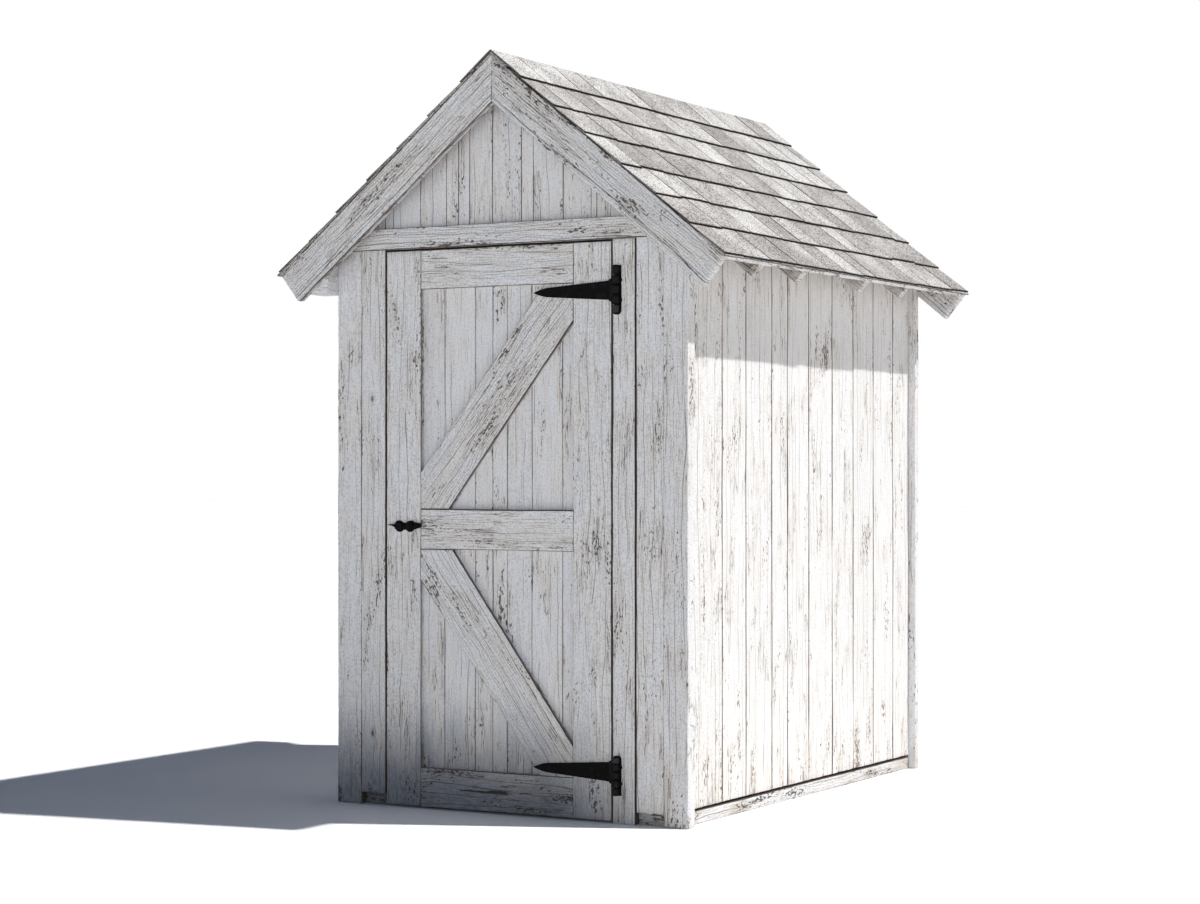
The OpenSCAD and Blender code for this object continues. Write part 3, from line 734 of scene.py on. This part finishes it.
def fitFrame(seen):
    # studs, stops and rails; a tie beam's top corners are cut under the rafters
    def fit(low, high):
        if high[2] - low[2] > high[0] - low[0]:
            return zAxis, seen, innerLook
        return xAxis, seen, innerLook, underRoof(postTop)
    return fit


def buildFloor():
    piece = Joinery("floor_deck", *bare)
    low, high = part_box("floor_deck")
    for start, end in boardsOf("floor_deck", 1, 2, high.z):
        piece.timber((low.x, start, low.z), (high.x, end, high.z), xAxis, zAxis, innerLook)
    piece.done()


buildSticks("base_frame", bare, lambda low, high: (
    xAxis, -yAxis, plinthLook if high[0] - low[0] < plinthLength else sillLook))
for node in ("side_rails_left", "side_rails_right", "ridge_board"):
    buildSticks(node, bare, lambda low, high: (yAxis, -xAxis, sillLook))
buildFloor()
for node, seen in (("front_frame", -yAxis), ("door_stop", -yAxis), ("rear_rails", yAxis)):
    buildSticks(node, bare, fitFrame(seen))
for node in ("skirt_left", "skirt_right"):
    buildSingle(node, painted, yAxis, xAxis, skirtLook)
print("base, floor and inner frame built")


# walls

postLook = dict(paintedLook, arris=0.0018, chip=0.0024, ragLow=0.003, wear=(0.3, 0.5), tone=(0.3, 0.6),
                row=0.015, tight=0.0002)
rearPostLook = dict(postLook, wear=(0.0, 0.2), waver=0.0003, chip=0.001)
postLooks = {
    "post_front_left": dict(postLook, seam=(0.9, 0.0)),
    "post_front_right": postLook,
    "post_rear_left": rearPostLook,
    "post_rear_right": rearPostLook,
}
frontLook = dict(plankLook, ragLow=0.004, row=0.015, wear=(0.3, 0.65), arris=0.001, tight=0.0002,
                 seam=(1.0, 0.0))
frontLooks = {
    "front_board_left": dict(frontLook, seam=(0.9, 0.3)),
    "front_board_right": frontLook,
    "hinge_jamb": dict(frontLook, backCoat=1.0, ragLow=0.002, seam=(0.5, 0.7)),
}
headerLook = dict(paintedLook, wear=(1.2, 1.2), tone=(0.3, 0.3), ragLow=0.003, ragHigh=0.003,
                  seam=(0.8, 1.0))
gableLook = dict(plankLook, wear=(-0.3, 0.1), tone=(0.1, 0.7), seam=(0.25, 0.25))
sideLook = dict(plankLook, tone=(0.5, 1.0), ragLow=0.003, row=0.02, seam=(0.8, 0.8))
tongueLook = dict(plankLook, row=0.2, column=0.02, coat=0.0, arris=0.0004, guard=0.001, chip=0.0, waver=0.0,
                  bow=0.0, tone=(-0.82, -0.78), wear=(1.0, 1.0), tight=0.0)
tongueCut = {"depth": 0.0065, "lip": 0.003, "foot": 0.006}
postGap = 0.0001           # keeps the two planks of a post apart where they meet


def boardWall(node, kind, runAxis, seen, look, swell, planes=()):
    # boards side by side, swollen a little into their seams, with a tongue behind each seam
    low, high, mirror = handed(node)
    depthAxis = 1 - runAxis
    facePlace = (high if seen[depthAxis] > 0 else low)[depthAxis]
    boards = boardsOf(node, runAxis, depthAxis, -facePlace if mirror else facePlace)
    piece = Joinery(node, *kind)
    for index, (start, end) in enumerate(boards):
        last = index + 1 == len(boards)
        low[runAxis] = start - (swell if index else 0)
        high[runAxis] = end + (0 if last else swell)
        piece.timber(low, high, zAxis, seen, look, planes, mirror)
        if not last:
            tongueLow, tongueHigh = low.copy(), high.copy()
            tongueLow[runAxis] = end - tongueCut["lip"]
            tongueHigh[runAxis] = boards[index + 1][0] + tongueCut["lip"]
            tongueLow[depthAxis] += tongueCut["depth"]
            tongueHigh[depthAxis] -= tongueCut["depth"]
            tongueLow.z += tongueCut["foot"]
            piece.timber(tongueLow, tongueHigh, zAxis, seen, tongueLook, planes, mirror)
    piece.done()


def buildPosts():
    # the whole post ends under the rafters, and a leaf as deep as the wall goes on to the roof boards
    for node, look in postLooks.items():
        low, high, mirror = handed(node)
        front = "front" in node
        leafLow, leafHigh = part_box("front_gable" if front else "wall_rear")
        seen = -yAxis if front else yAxis
        piece = Joinery(node, *painted)
        piece.timber(low, high, zAxis, seen, look, underRoof(postTop + 2 * postGap), mirror)
        foot = [(-plane, -limit) for plane, limit in underRoof(postTop + postGap)[:1]]
        piece.timber((low.x, leafLow.y, low.z), (high.x, leafHigh.y, high.z), zAxis, seen, look,
                     underRoof(gableTop) + foot, mirror)
        piece.done()


def buildWalls():
    for node, look in frontLooks.items():
        buildSingle(node, painted, zAxis, -yAxis, look, underRoof(gableTop))
    buildSingle("door_header", painted, xAxis, -yAxis, headerLook)
    for node in ("wall_left", "wall_right"):
        # the side walls take the copy of the paint with painted sunlight
        boardWall(node, paintedSunlight, 1, xAxis, sideLook, 0.0006)
    for node, seen, look in (("front_gable", -yAxis, gableLook), ("wall_rear", yAxis, sideLook)):
        boardWall(node, painted, 0, seen, look, 0.0012, underRoof(gableTop))


buildPosts()
buildWalls()
print("walls built")


# roof

deckLook = dict(innerLook, tone=(0.4, 0.9))
eaveBoardLook = dict(paintedLook, row=0.03, wear=(0.7, 0.8), waver=0.002, chip=0.003)
bargeLook = dict(paintedLook, wear=(1.1, 1.3), tone=(0.2, 0.5), arris=0.002, chip=0.003, ragHigh=0.003,
                 row=0.015, seam=(0.6, 0.4))
bargeCut = {
    "crack": (0.6, 0.8, 0.001),   # middle, half length and half width of each barge board's long crack
    "crackPlace": 0.016,          # how far it runs from the lower edge
    "apexGap": 0.0004,
}
tailLook = dict(innerLook, row=0.03, column=0.02, tone=(0.1, 0.5), chip=0.003, ragHigh=0.003,
                wear=(1.3, 1.6), coat=0.6, backCoat=0.6, coatFrom=0.001)
blockLook = dict(paintedLook, wear=(0.5, 0.7), tone=(0.2, 0.4))
shingleCut = {
    "widths": (0.10, 0.245),
    "gap": 0.003,
    "lap": 1.34,               # length of a shingle in exposures
    "step": 0.006,             # how far the next course lies under this one
    "butt": (0.0042, 0.0056),  # thickness at the lower edge
    "head": 0.0022,            # and at the upper end
    "shortest": 0.006,         # how much a shingle may fall short of its line
    "skew": 0.018,
    "stagger": 0.035,          # least distance between the joints of two courses
    "tries": 30,               # how often a joint is drawn again to keep it
    "lastShare": 0.75,         # least width of a course's last shingle, of the narrowest
    "vergeRag": (0.001, 0.0045),
    "ridgeGap": 0.0006,
    "under": 0.0056,           # thickness of the strips under the first and last course
    "eaveStrip": 0.12,         # how far up they reach at the eave
    "ridgeStrip": 0.55,        # and their share of the first course at the ridge
    "stripRag": 0.003,
    "stripGap": 0.001,
    "stripDrop": 0.0004,       # how far they lie below the thickest shingle's back
}
shingleMesh = dict(paintedLook, arris=0.0009, guard=0.002, column=0.016, row=0.012, waver=0.0009,
                   bow=0.0006, ragLow=0.0, ragHigh=0.003, tight=0.0, tone=(0.0, 1.0), wear=(0.0, 1.0))
stripMesh = dict(shingleMesh, row=0.02, coat=0.0, tone=(0.7, 1.0))


def buildDecks():
    for node in ("roof_deck_left", "roof_deck_right"):
        points, mirror = handedCorners(node)
        marks = stepsIn(runOf(points[depthOf(points) > deckBottom - faceSlack]))
        start, end = points[:, 1].min(), points[:, 1].max()
        piece = Joinery(node, *bare)
        for upper, foot in zip(marks[::2], marks[1::2]):
            piece.plank(slopePoint(foot, deckBottom, start), yAxis, slopeUp, foot - upper,
                        deckBottom - deckTop, [(yAxis, end), (-yAxis, -start)],
                        eaveBoardLook if foot == marks[-1] else deckLook, mirror)
        piece.done()


def buildRafters():
    piece = Joinery("rafters", *bare)
    for solid in solidsOf("rafters"):
        mirror = solid[:, 0].min() < 0
        solid = solid * ((-1 if mirror else 1), 1, 1)
        low, high = solid.min(0), solid.max(0)
        top, bottom = depthsOf(solid)
        planes = [(-xAxis, -low[0]), (xAxis, high[0]), cutAt(runOf(solid).max())]
        piece.plank(slopePoint(0, top, low[1]), slopeDown, yAxis, bottom - top, high[1] - low[1],
                    planes, tailLook, mirror)
    piece.done()


def buildBarges():
    for node in ("barge_front_left", "barge_front_right", "barge_rear_left", "barge_rear_right"):
        points, mirror = handedCorners(node)
        low, high = points.min(0), points.max(0)
        top, bottom = depthsOf(points)
        width = bottom - top
        planes = [(-xAxis, -bargeCut["apexGap"]), cutAt(runOf(points).max())]
        if "front" in node:
            corner, depth, place = slopePoint(0, top, low[1]), yAxis, width - bargeCut["crackPlace"]
        else:
            corner, depth, place = slopePoint(0, bottom, high[1]), -yAxis, bargeCut["crackPlace"]
        piece = Joinery(node, *painted)
        piece.plank(corner, slopeDown, depth, width, high[1] - low[1], planes,
                    dict(bargeLook, rent=(place, *bargeCut["crack"])), mirror)
        piece.done()


def courseJoints(dice, start, end, above):
    # joints of one course, kept clear of those of the course above it
    cut = Settings(**shingleCut)
    joints = [start]
    while True:
        for attempt in range(cut.tries):
            place = joints[-1] + dice.uniform(*cut.widths)
            if all(abs(place - other) > cut.stagger for other in above):
                break
        if place > end - cut.widths[0] * cut.lastShare:
            return joints + [end]
        joints.append(place)


def buildShingles():
    cut = Settings(**shingleCut)
    ridgePlane = (-xAxis, -cut.ridgeGap)
    for node in ("shingles_left", "shingles_right"):
        points, mirror = handedCorners(node)
        butts = stepsIn(runOf(points)[depthOf(points) < faceSlack])[1:]
        start, end = points[:, 1].min(), points[:, 1].max()
        piece = Joinery(node, shingleFinish, "shingles")
        dice = piece.dice
        joints = []
        upper = 0.0
        for course, butt in enumerate(butts):
            foot = slopePoint(butt, 0)
            along = (foot - slopePoint(upper, cut.step if course else 0.0)).normalized()
            out = yAxis.cross(-along).normalized()
            joints = courseJoints(dice, start, end, joints[1:-1])
            for near, far in zip(joints, joints[1:]):
                nearEnd = near + (dice.uniform(*cut.vergeRag) if near == start else cut.gap / 2)
                farEnd = far - (dice.uniform(*cut.vergeRag) if far == end else cut.gap / 2)
                short = dice.uniform(0, cut.shortest)
                line = (along + yAxis * dice.uniform(-cut.skew, cut.skew)).normalized()
                middle = Vector((foot.x, (nearEnd + farEnd) / 2, foot.z)) - along * short
                limit = along.dot(foot)
                planes = [(line, min(line.dot(middle), limit)), (along, limit), ridgePlane]
                look = shingleMesh
                if course:
                    planes[2] = (-along, -limit + (butt - upper) * cut.lap)
                    look = dict(shingleMesh, headThickness=cut.head)
                piece.plank(Vector((foot.x, farEnd, foot.z)), along, -out, farEnd - nearEnd,
                            dice.uniform(*cut.butt), planes, look, mirror)
            upper = butt
        # strips that fill out the cover under the eave course and along the ridge
        eaveTop = -slopeDown, -cutAt(butts[-1] - cut.eaveStrip)[1]
        for top, bottom in ((eaveTop, butts[-1] - cut.stripRag), (ridgePlane, butts[0] * cut.ridgeStrip)):
            strip = courseJoints(dice, start, end, [])
            for near, far in zip(strip, strip[1:]):
                planes = [cutAt(bottom - dice.uniform(0, cut.stripRag)), top]
                corner = slopePoint(0, cut.butt[1] + cut.stripDrop, far - cut.stripGap)
                piece.plank(corner, slopeDown, -slopeUp, far - near - 2 * cut.stripGap, cut.under,
                            planes, stripMesh, mirror)
        piece.done()


buildDecks()
buildRafters()
buildBarges()
buildSticks("eave_blocks", painted, lambda low, high: (xAxis, -yAxis if low[1] < 0 else yAxis, blockLook))
buildShingles()
print("roof built")


# door

doorFrameLook = dict(paintedLook, row=0.014, wear=(0.35, 0.6), chip=0.0024, tight=0.0005, arris=0.0012,
                     seam=(0.75, 0.75))
railLook = dict(doorFrameLook, wear=(0.7, 0.8), tone=(0.3, 0.7))
stileLooks = {
    "door_stile_left": dict(doorFrameLook, seam=(0.3, 0.4)),
    "door_stile_right": dict(doorFrameLook, seam=(0.4, 0.5)),
}
railLooks = {
    "door_rail_top": dict(railLook, rent=(0.027, 0.072, 0.034, 0.0016)),
    # the middle rail's top joint is near black: a painted shadow line
    "door_rail_middle": dict(railLook, wear=(0.5, 0.5), seam=(1.9, 1.1)),
    "door_rail_bottom": dict(railLook, wear=(0.9, 0.9), rent=(0.06, 0.24, 0.09, 0.0014)),
}
doorBoardLook = dict(plankLook, wear=(-0.3, 0.2), seam=(0.12, 0.12))
braceLook = dict(doorFrameLook, wear=(1.0, 1.2), seam=(0.6, 0.6))
braceSlant = 0.1           # two corners of a long edge lie at least this far apart in X and in Z


def buildDoorFrame():
    for looks, along in ((stileLooks, zAxis), (railLooks, xAxis)):
        for node, look in looks.items():
            piece = Joinery(node, *painted)
            piece.timber(*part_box(node), along, -yAxis, look)
            piece.done()


def buildBrace(node, rises):
    # the brace's own edges give its lean, and the stiles and rails cut its ends
    points = cornersOf(node)
    low, high = points.min(0), points.max(0)
    middle = Vector(((low[0] + high[0]) / 2, 0, (low[2] + high[2]) / 2))
    corners = [Vector((x, 0, z)) for x, z in {tuple(np.round(point[[0, 2]], 5)) for point in points}]
    fits = []
    for a in corners:
        for b in corners:
            if b.x - a.x > braceSlant and abs(b.z - a.z) > braceSlant and (b.z > a.z) == rises:
                along = (b - a).normalized()
                offs = [abs(yAxis.cross(along).dot(corner - middle)) for corner in corners]
                fits.append((sum(abs(off - max(offs)) < faceSlack for off in offs), along, max(offs)))
    count, along, reach = max(fits, key=lambda fit: fit[0])
    tight = braceLook["tight"]
    planes = [(xAxis, high[0] - tight), (-xAxis, -low[0] - tight),
              (zAxis, high[2] - tight), (-zAxis, -low[2] - tight)]
    piece = Joinery(node, *painted)
    piece.plank(middle + yAxis * low[1] - yAxis.cross(along) * reach, along, yAxis, 2 * reach,
                high[1] - low[1], planes, braceLook)
    piece.done()


boardWall("door_boards", painted, 0, -yAxis, doorBoardLook, 0.0009)
buildDoorFrame()
buildBrace("door_brace_upper", True)
buildBrace("door_brace_lower", False)
print("door built")


# ironwork

highlightFrom = 0.93          # share of a turned solid's widest radius from which it takes the painted highlight


class Forging:
    # solids of one iron piece, with a mark that lightens chosen parts: a painted highlight
    def __init__(self, node):
        self.node = node
        self.shape = bmesh.new()
        self.rub = self.shape.verts.layers.float_color.new("trait")

    def bar(self, outline, back, front, bevel, rub=0.0):
        # a flat bar: an outline in X and Z, standing out from back to front
        before = set(self.shape.verts)
        base = self.shape.faces.new([self.shape.verts.new((x, back, z)) for x, z in outline])
        made = bmesh.ops.extrude_face_region(self.shape, geom=[base])["geom"]
        top = [item for item in made if isinstance(item, bmesh.types.BMVert)]
        bmesh.ops.translate(self.shape, vec=(0, front - back, 0), verts=top)
        rim = [item for item in made if isinstance(item, bmesh.types.BMEdge)]
        bmesh.ops.bevel(self.shape, geom=rim, offset=bevel, segments=3, profile=0.6, affect="EDGES")
        for vert in set(self.shape.verts) - before:
            vert[self.rub] = (rub, 0, 0, 1)

    def turned(self, profile, centre, axis, rub=0.0, sides=36):
        # a solid of revolution: radius and height pairs along the axis, with a painted highlight where it
        # is widest
        widest = max(radius for radius, height in profile)
        axis = Vector(axis)
        side = axis.orthogonal().normalized()
        other = axis.cross(side)
        rings = []
        for radius, height in profile:
            middle = Vector(centre) + axis * height
            turns = [2 * math.pi * step / sides for step in range(sides if radius else 1)]
            rims = [(side * math.cos(turn) + other * math.sin(turn)) * radius for turn in turns]
            rings.append([self.shape.verts.new(middle + rim) for rim in rims])
            for vert in rings[-1]:
                vert[self.rub] = (rub * (radius > widest * highlightFrom), 0, 0, 1)
        for lower, upper in zip(rings, rings[1:]):
            for step in range(sides):
                after = (step + 1) % sides
                corners = [lower[step % len(lower)], lower[after % len(lower)],
                           upper[after % len(upper)], upper[step % len(upper)]]
                self.shape.faces.new(list(dict.fromkeys(corners)))

    def done(self):
        bmesh.ops.recalc_face_normals(self.shape, faces=self.shape.faces)
        mesh = bpy.data.meshes.new(camelName(self.node))
        self.shape.to_mesh(mesh)
        self.shape.free()
        standFor(self.node, mesh, ironFinish, 40)


hingeCut = {
    "knuckles": 5, "gap": 0.001, "radius": 0.010, "round": 0.0022, "rub": 0.22, "edgeGap": 0.0016,
    "ear": 0.007, "earReach": 0.003, "earRise": 0.0008, "plate": 0.004, "strap": 0.005, "bevel": 0.0011,
    "rootHalf": 0.030, "flangeHalf": 0.040, "pointHalf": 0.015, "point": 0.056, "ridge": 0.0022,
    "pin": 0.0045, "screw": 0.0046, "screwRise": 0.0019, "screwPlaces": (0.36, 0.62, 0.88),
    "rim": 0.92, "belly": 0.28,   # a knuckle's radius at its rims, and where along it the belly is full
    # strength of the painted highlight on the round end, the strap's ridge and the screw heads, after that
    # on the knuckles above
    "ballRub": 0.9, "ridgeRub": 0.15, "screwRub": 0.04,
}
pinX, pinY = frame["joints"][0]["pos_m"][:2]
outward = -yAxis


def dome(radius, rise, steps=6):
    bends = quarterTurns(steps)[:-1]
    return [(radius * math.cos(bend), rise * math.sin(bend)) for bend in bends] + [(0, rise)]


def stud(radius, rise, root=0.001, steps=6):
    # a dome on a short root that sinks into what it stands on
    return [(0, -root), (radius, -root)] + dome(radius, rise, steps)


def rod(radius, length):
    return [(0, 0), (radius, 0), (radius, length), (0, length)]


def knuckleProfile(radius, height, soft):
    # a cylinder with rounded rims and a full belly
    rim = radius * hingeCut["rim"]
    low = [(rim - soft + soft * math.sin(bend), soft - soft * math.cos(bend)) for bend in quarterTurns(4)]
    low.append((radius, height * hingeCut["belly"]))
    return [(0, 0)] + low + [(r, height - h) for r, h in reversed(low)] + [(0, height)]


def screwHead(piece, x, face, z):
    cut = Settings(**hingeCut)
    piece.turned(stud(cut.screw, cut.screwRise), (x, face, z), outward, cut.screwRub, 20)


def buildHinge(which, flip):
    # flip is 1 where the round end points down and -1 where it points up
    cut = Settings(**hingeCut)
    radius, soft = cut.radius, cut.round
    plateLow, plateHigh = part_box("hinge_plate_" + which)
    wall = plateHigh.y
    plateFace, strapFace = wall - cut.plate, wall - cut.strap
    middle = (plateLow.z + plateHigh.z) / 2
    half = (plateHigh.z - plateLow.z) / 2
    height = (2 * half + cut.gap) / cut.knuckles - cut.gap
    strapCorners = cornersOf("hinge_strap_" + which)
    tip, nearest, axis = strapCorners[strapCorners[:, 0].argmin()]

    def levelOf(index, share=0.0):
        return middle + flip * (index * (height + cut.gap) - half + share * height)

    def knuckle(piece, index, edge):
        low = min(levelOf(index), levelOf(index, 1))
        piece.turned(knuckleProfile(radius, height, soft), (pinX, pinY, low), zAxis, cut.rub)
        left, right = sorted((edge, pinX))
        bottom, top = low + 0.001, low + height - 0.001
        piece.bar([(left, bottom), (right, bottom), (right, top), (left, top)], wall, pinY, 0.0006)

    plate = Forging("hinge_plate_" + which)
    right = plateHigh.x - cut.earReach
    reach = right - pinX
    corner = [(pinX + reach * math.sin(turn), levelOf(0) + flip * reach * (1 - math.cos(turn)))
              for turn in quarterTurns(8)]
    plate.bar(corner + [(right, levelOf(4, 1)), (pinX, levelOf(4, 1))], wall, plateFace, cut.bevel)
    for index in (1, 3):
        x, z = right + cut.earReach - cut.ear, levelOf(index, 0.5)
        plate.turned(stud(cut.ear, cut.earRise, cut.plate), (x, plateFace, z), outward, 0.0, 24)
        screwHead(plate, x, plateFace - 0.0007, z)
    for index in (2, 4):
        knuckle(plate, index, pinX + radius)
    stem = height - radius - soft
    ballMiddle = (pinX, pinY, levelOf(0) + flip * radius)
    ball = [(0, -stem - soft), (radius - soft, -stem - soft), (radius, -stem)] + dome(radius, radius, 8)
    plate.turned(ball, ballMiddle, zAxis * -flip, cut.ballRub)
    plate.turned(rod(cut.pin, 2 * half - radius), ballMiddle, zAxis * flip)
    plate.done()

    strap = Forging("hinge_strap_" + which)
    root = pinX - cut.rootHalf
    edge = pinX - radius - cut.edgeGap
    flange = cut.flangeHalf
    upper = [(tip + cut.point * step / 8, cut.pointHalf * (1 - (1 - step / 8) ** 1.6))
             for step in range(1, 9)]
    upper += [(root + (edge - root) * step / 5, cut.rootHalf + (flange - cut.rootHalf) * (step / 5) ** 0.7)
              for step in range(6)]
    outline = [(tip, axis)] + [(x, axis - rise) for x, rise in upper]
    outline += [(x, axis + rise) for x, rise in reversed(upper)]
    strap.bar(outline, wall, strapFace, cut.bevel)
    ridge = [(root + 0.004, axis - flange + 0.006), (edge, axis - flange + 0.001),
             (edge, axis + flange - 0.001), (root + 0.004, axis + flange - 0.006)]
    strap.bar(ridge, strapFace, strapFace - cut.ridge, cut.bevel, cut.ridgeRub)
    for index in (1, 3):
        knuckle(strap, index, edge - 0.003)
    for share in cut.screwPlaces:
        screwHead(strap, tip + (root - tip) * share, strapFace, axis)
    strap.done()


pullCut = {"lobe": 0.0185, "knob": 0.015, "spacing": 0.042, "neck": 0.006, "waist": 0.0115, "plate": 0.005,
           "bluntHalf": 0.0055, "bluntRoot": 0.86, "tipRoot": 0.8, "bevel": 0.0016, "tipRise": 0.004,
           "steps": 72}


def buildPull():
    cut = Settings(**pullCut)
    lobe, steps = cut.lobe, cut.steps
    low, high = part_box("door_pull")
    middleX, middleZ = (low.x + high.x) / 2, (low.z + high.z) / 2
    halfLength = (high.x - low.x) / 2
    offset = cut.spacing / 2
    face = high.y - cut.plate

    def halfHeight(x):
        # two lobes and the waist between them, a thin point on the left and a blunt end on the right
        roundPart = math.sqrt(max(0.0, lobe ** 2 - (abs(x) - offset) ** 2))
        if abs(x) < offset:
            return max(roundPart, cut.waist + 0.002 * (x / offset) ** 2)
        left = 1 - (abs(x) - offset) / (halfLength - offset)
        if x < 0:
            return max(roundPart, cut.tipRoot * lobe * left ** 2 + 0.001 * left ** 0.5)
        return max(roundPart, cut.bluntHalf + (cut.bluntRoot * lobe - cut.bluntHalf) * left)

    def midHeight(x):
        return cut.tipRise * max(0.0, (abs(x) - offset) / (halfLength - offset)) ** 0.7

    places = [-halfLength * math.cos(math.pi * step / steps) for step in range(1, steps + 1)]
    outline = [(-halfLength, midHeight(halfLength))]
    outline += [(x, midHeight(x) - halfHeight(x)) for x in places]
    outline += [(x, midHeight(x) + halfHeight(x)) for x in reversed(places)]
    piece = Forging("door_pull")
    piece.bar([(middleX + x, middleZ + z) for x, z in outline], high.y, face, cut.bevel)
    for x in (middleX - offset, middleX + offset):
        piece.turned(stud(cut.knob, face - low.y, steps=10), (x, face, middleZ), outward)
    piece.turned(rod(cut.neck, cut.spacing), (middleX - offset, face - cut.neck / 2, middleZ), xAxis)
    piece.done()


buildHinge("upper", 1)
buildHinge("lower", -1)
buildPull()
print("ironwork built")


# stage

lightLook = {
    "sun": 3.35, "sunAngle": 1.2, "sunColour": (1.0, 0.99, 0.97), "sunAim": (-0.69, -0.29, -1.0),
    "horizon": (0.78, 0.83, 0.93), "zenith": (0.035, 0.05, 0.08), "skyHeight": 0.42,
    "fill": 60.0, "fillColour": (0.86, 0.935, 1.0), "fillSize": 4.0, "fillPlace": (3.0, -8.5, 2.0),
    "fillAimHeight": 1.1,
    "floorSeen": (1.12, 1.12, 1.13), "floorBounce": (0.97, 0.93, 0.885), "floorSize": 120.0,
}


def rayShare(net):
    # 1 for what the camera or a glossy surface sees directly
    camera, glossy, through = [net.node("ShaderNodeLightPath", {}, {}, name) for name in
                               ("Is Camera Ray", "Is Glossy Ray", "Is Transmission Ray")]
    return camera.most(glossy).most(through)


def hangLamp(name, kind, power, colour):
    light = bpy.data.lights.new(name, kind)
    light.energy = power
    light.color = colour
    return light, placed(name, light)


def turnToward(lamp, aim):
    lamp.rotation_euler = Vector(aim).to_track_quat("-Z", "Y").to_euler()


def buildStage():
    look = Settings(**lightLook)
    half = look.floorSize / 2
    mesh = bpy.data.meshes.new("floor")
    corners = [(-half, -half, 0), (half, -half, 0), (half, half, 0), (-half, half, 0)]
    mesh.from_pydata(corners, [], [range(4)])
    placed("floor", mesh)
    net = Net(bpy.data.materials.new("paleFloor"))
    tone = net.colour(look.floorBounce).to(look.floorSeen, rayShare(net))
    surface = net.node("ShaderNodeBsdfDiffuse", {}, {"Color": tone})
    net.node("ShaderNodeOutputMaterial", {}, {"Surface": surface})
    mesh.materials.append(net.owner)

    sun, lamp = hangLamp("keySun", "SUN", look.sun, look.sunColour)
    sun.angle = math.radians(look.sunAngle)
    turnToward(lamp, look.sunAim)
    fill, lamp = hangLamp("softFill", "AREA", look.fill, look.fillColour)
    fill.size = look.fillSize
    lamp.location = look.fillPlace
    turnToward(lamp, Vector((0, cadLow.y, look.fillAimHeight)) - lamp.location)

    world = bpy.data.worlds.new("paleStudio")
    bpy.context.scene.world = world
    net = Net(world)
    height = net.node("ShaderNodeTexCoord", {}, {}, "Generated").parts()[2]
    sky = net.colour(look.horizon).to(look.zenith, height.rise(0.0, look.skyHeight))
    sky = sky.to((1.0, 1.0, 1.0), rayShare(net))
    light = net.node("ShaderNodeBackground", {}, {"Color": sky, "Strength": 1.0})
    net.node("ShaderNodeOutputWorld", {}, {"Surface": light})


cameraLook = {
    "place": (4.2283, -6.8608, 1.0991),   # from the middle of the front posts' face, on the ground
    "tilt": (90.368, 0.0, 29.525),
    "lens": 76.195,
    "sensor": 36.0,
    "reach": 300.0,
}


def buildCamera():
    look = Settings(**cameraLook)
    camera = bpy.data.cameras.new("camera")
    camera.lens = look.lens
    camera.sensor_width = look.sensor
    camera.clip_end = look.reach
    holder = placed("camera", camera)
    holder.location = Vector(look.place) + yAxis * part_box("post_front_right")[0].y
    holder.rotation_euler = [math.radians(turn) for turn in look.tilt]
    bpy.context.scene.camera = holder


buildStage()
buildCamera()
bpy.context.scene.view_settings.view_transform = "Standard"
print("stage built")
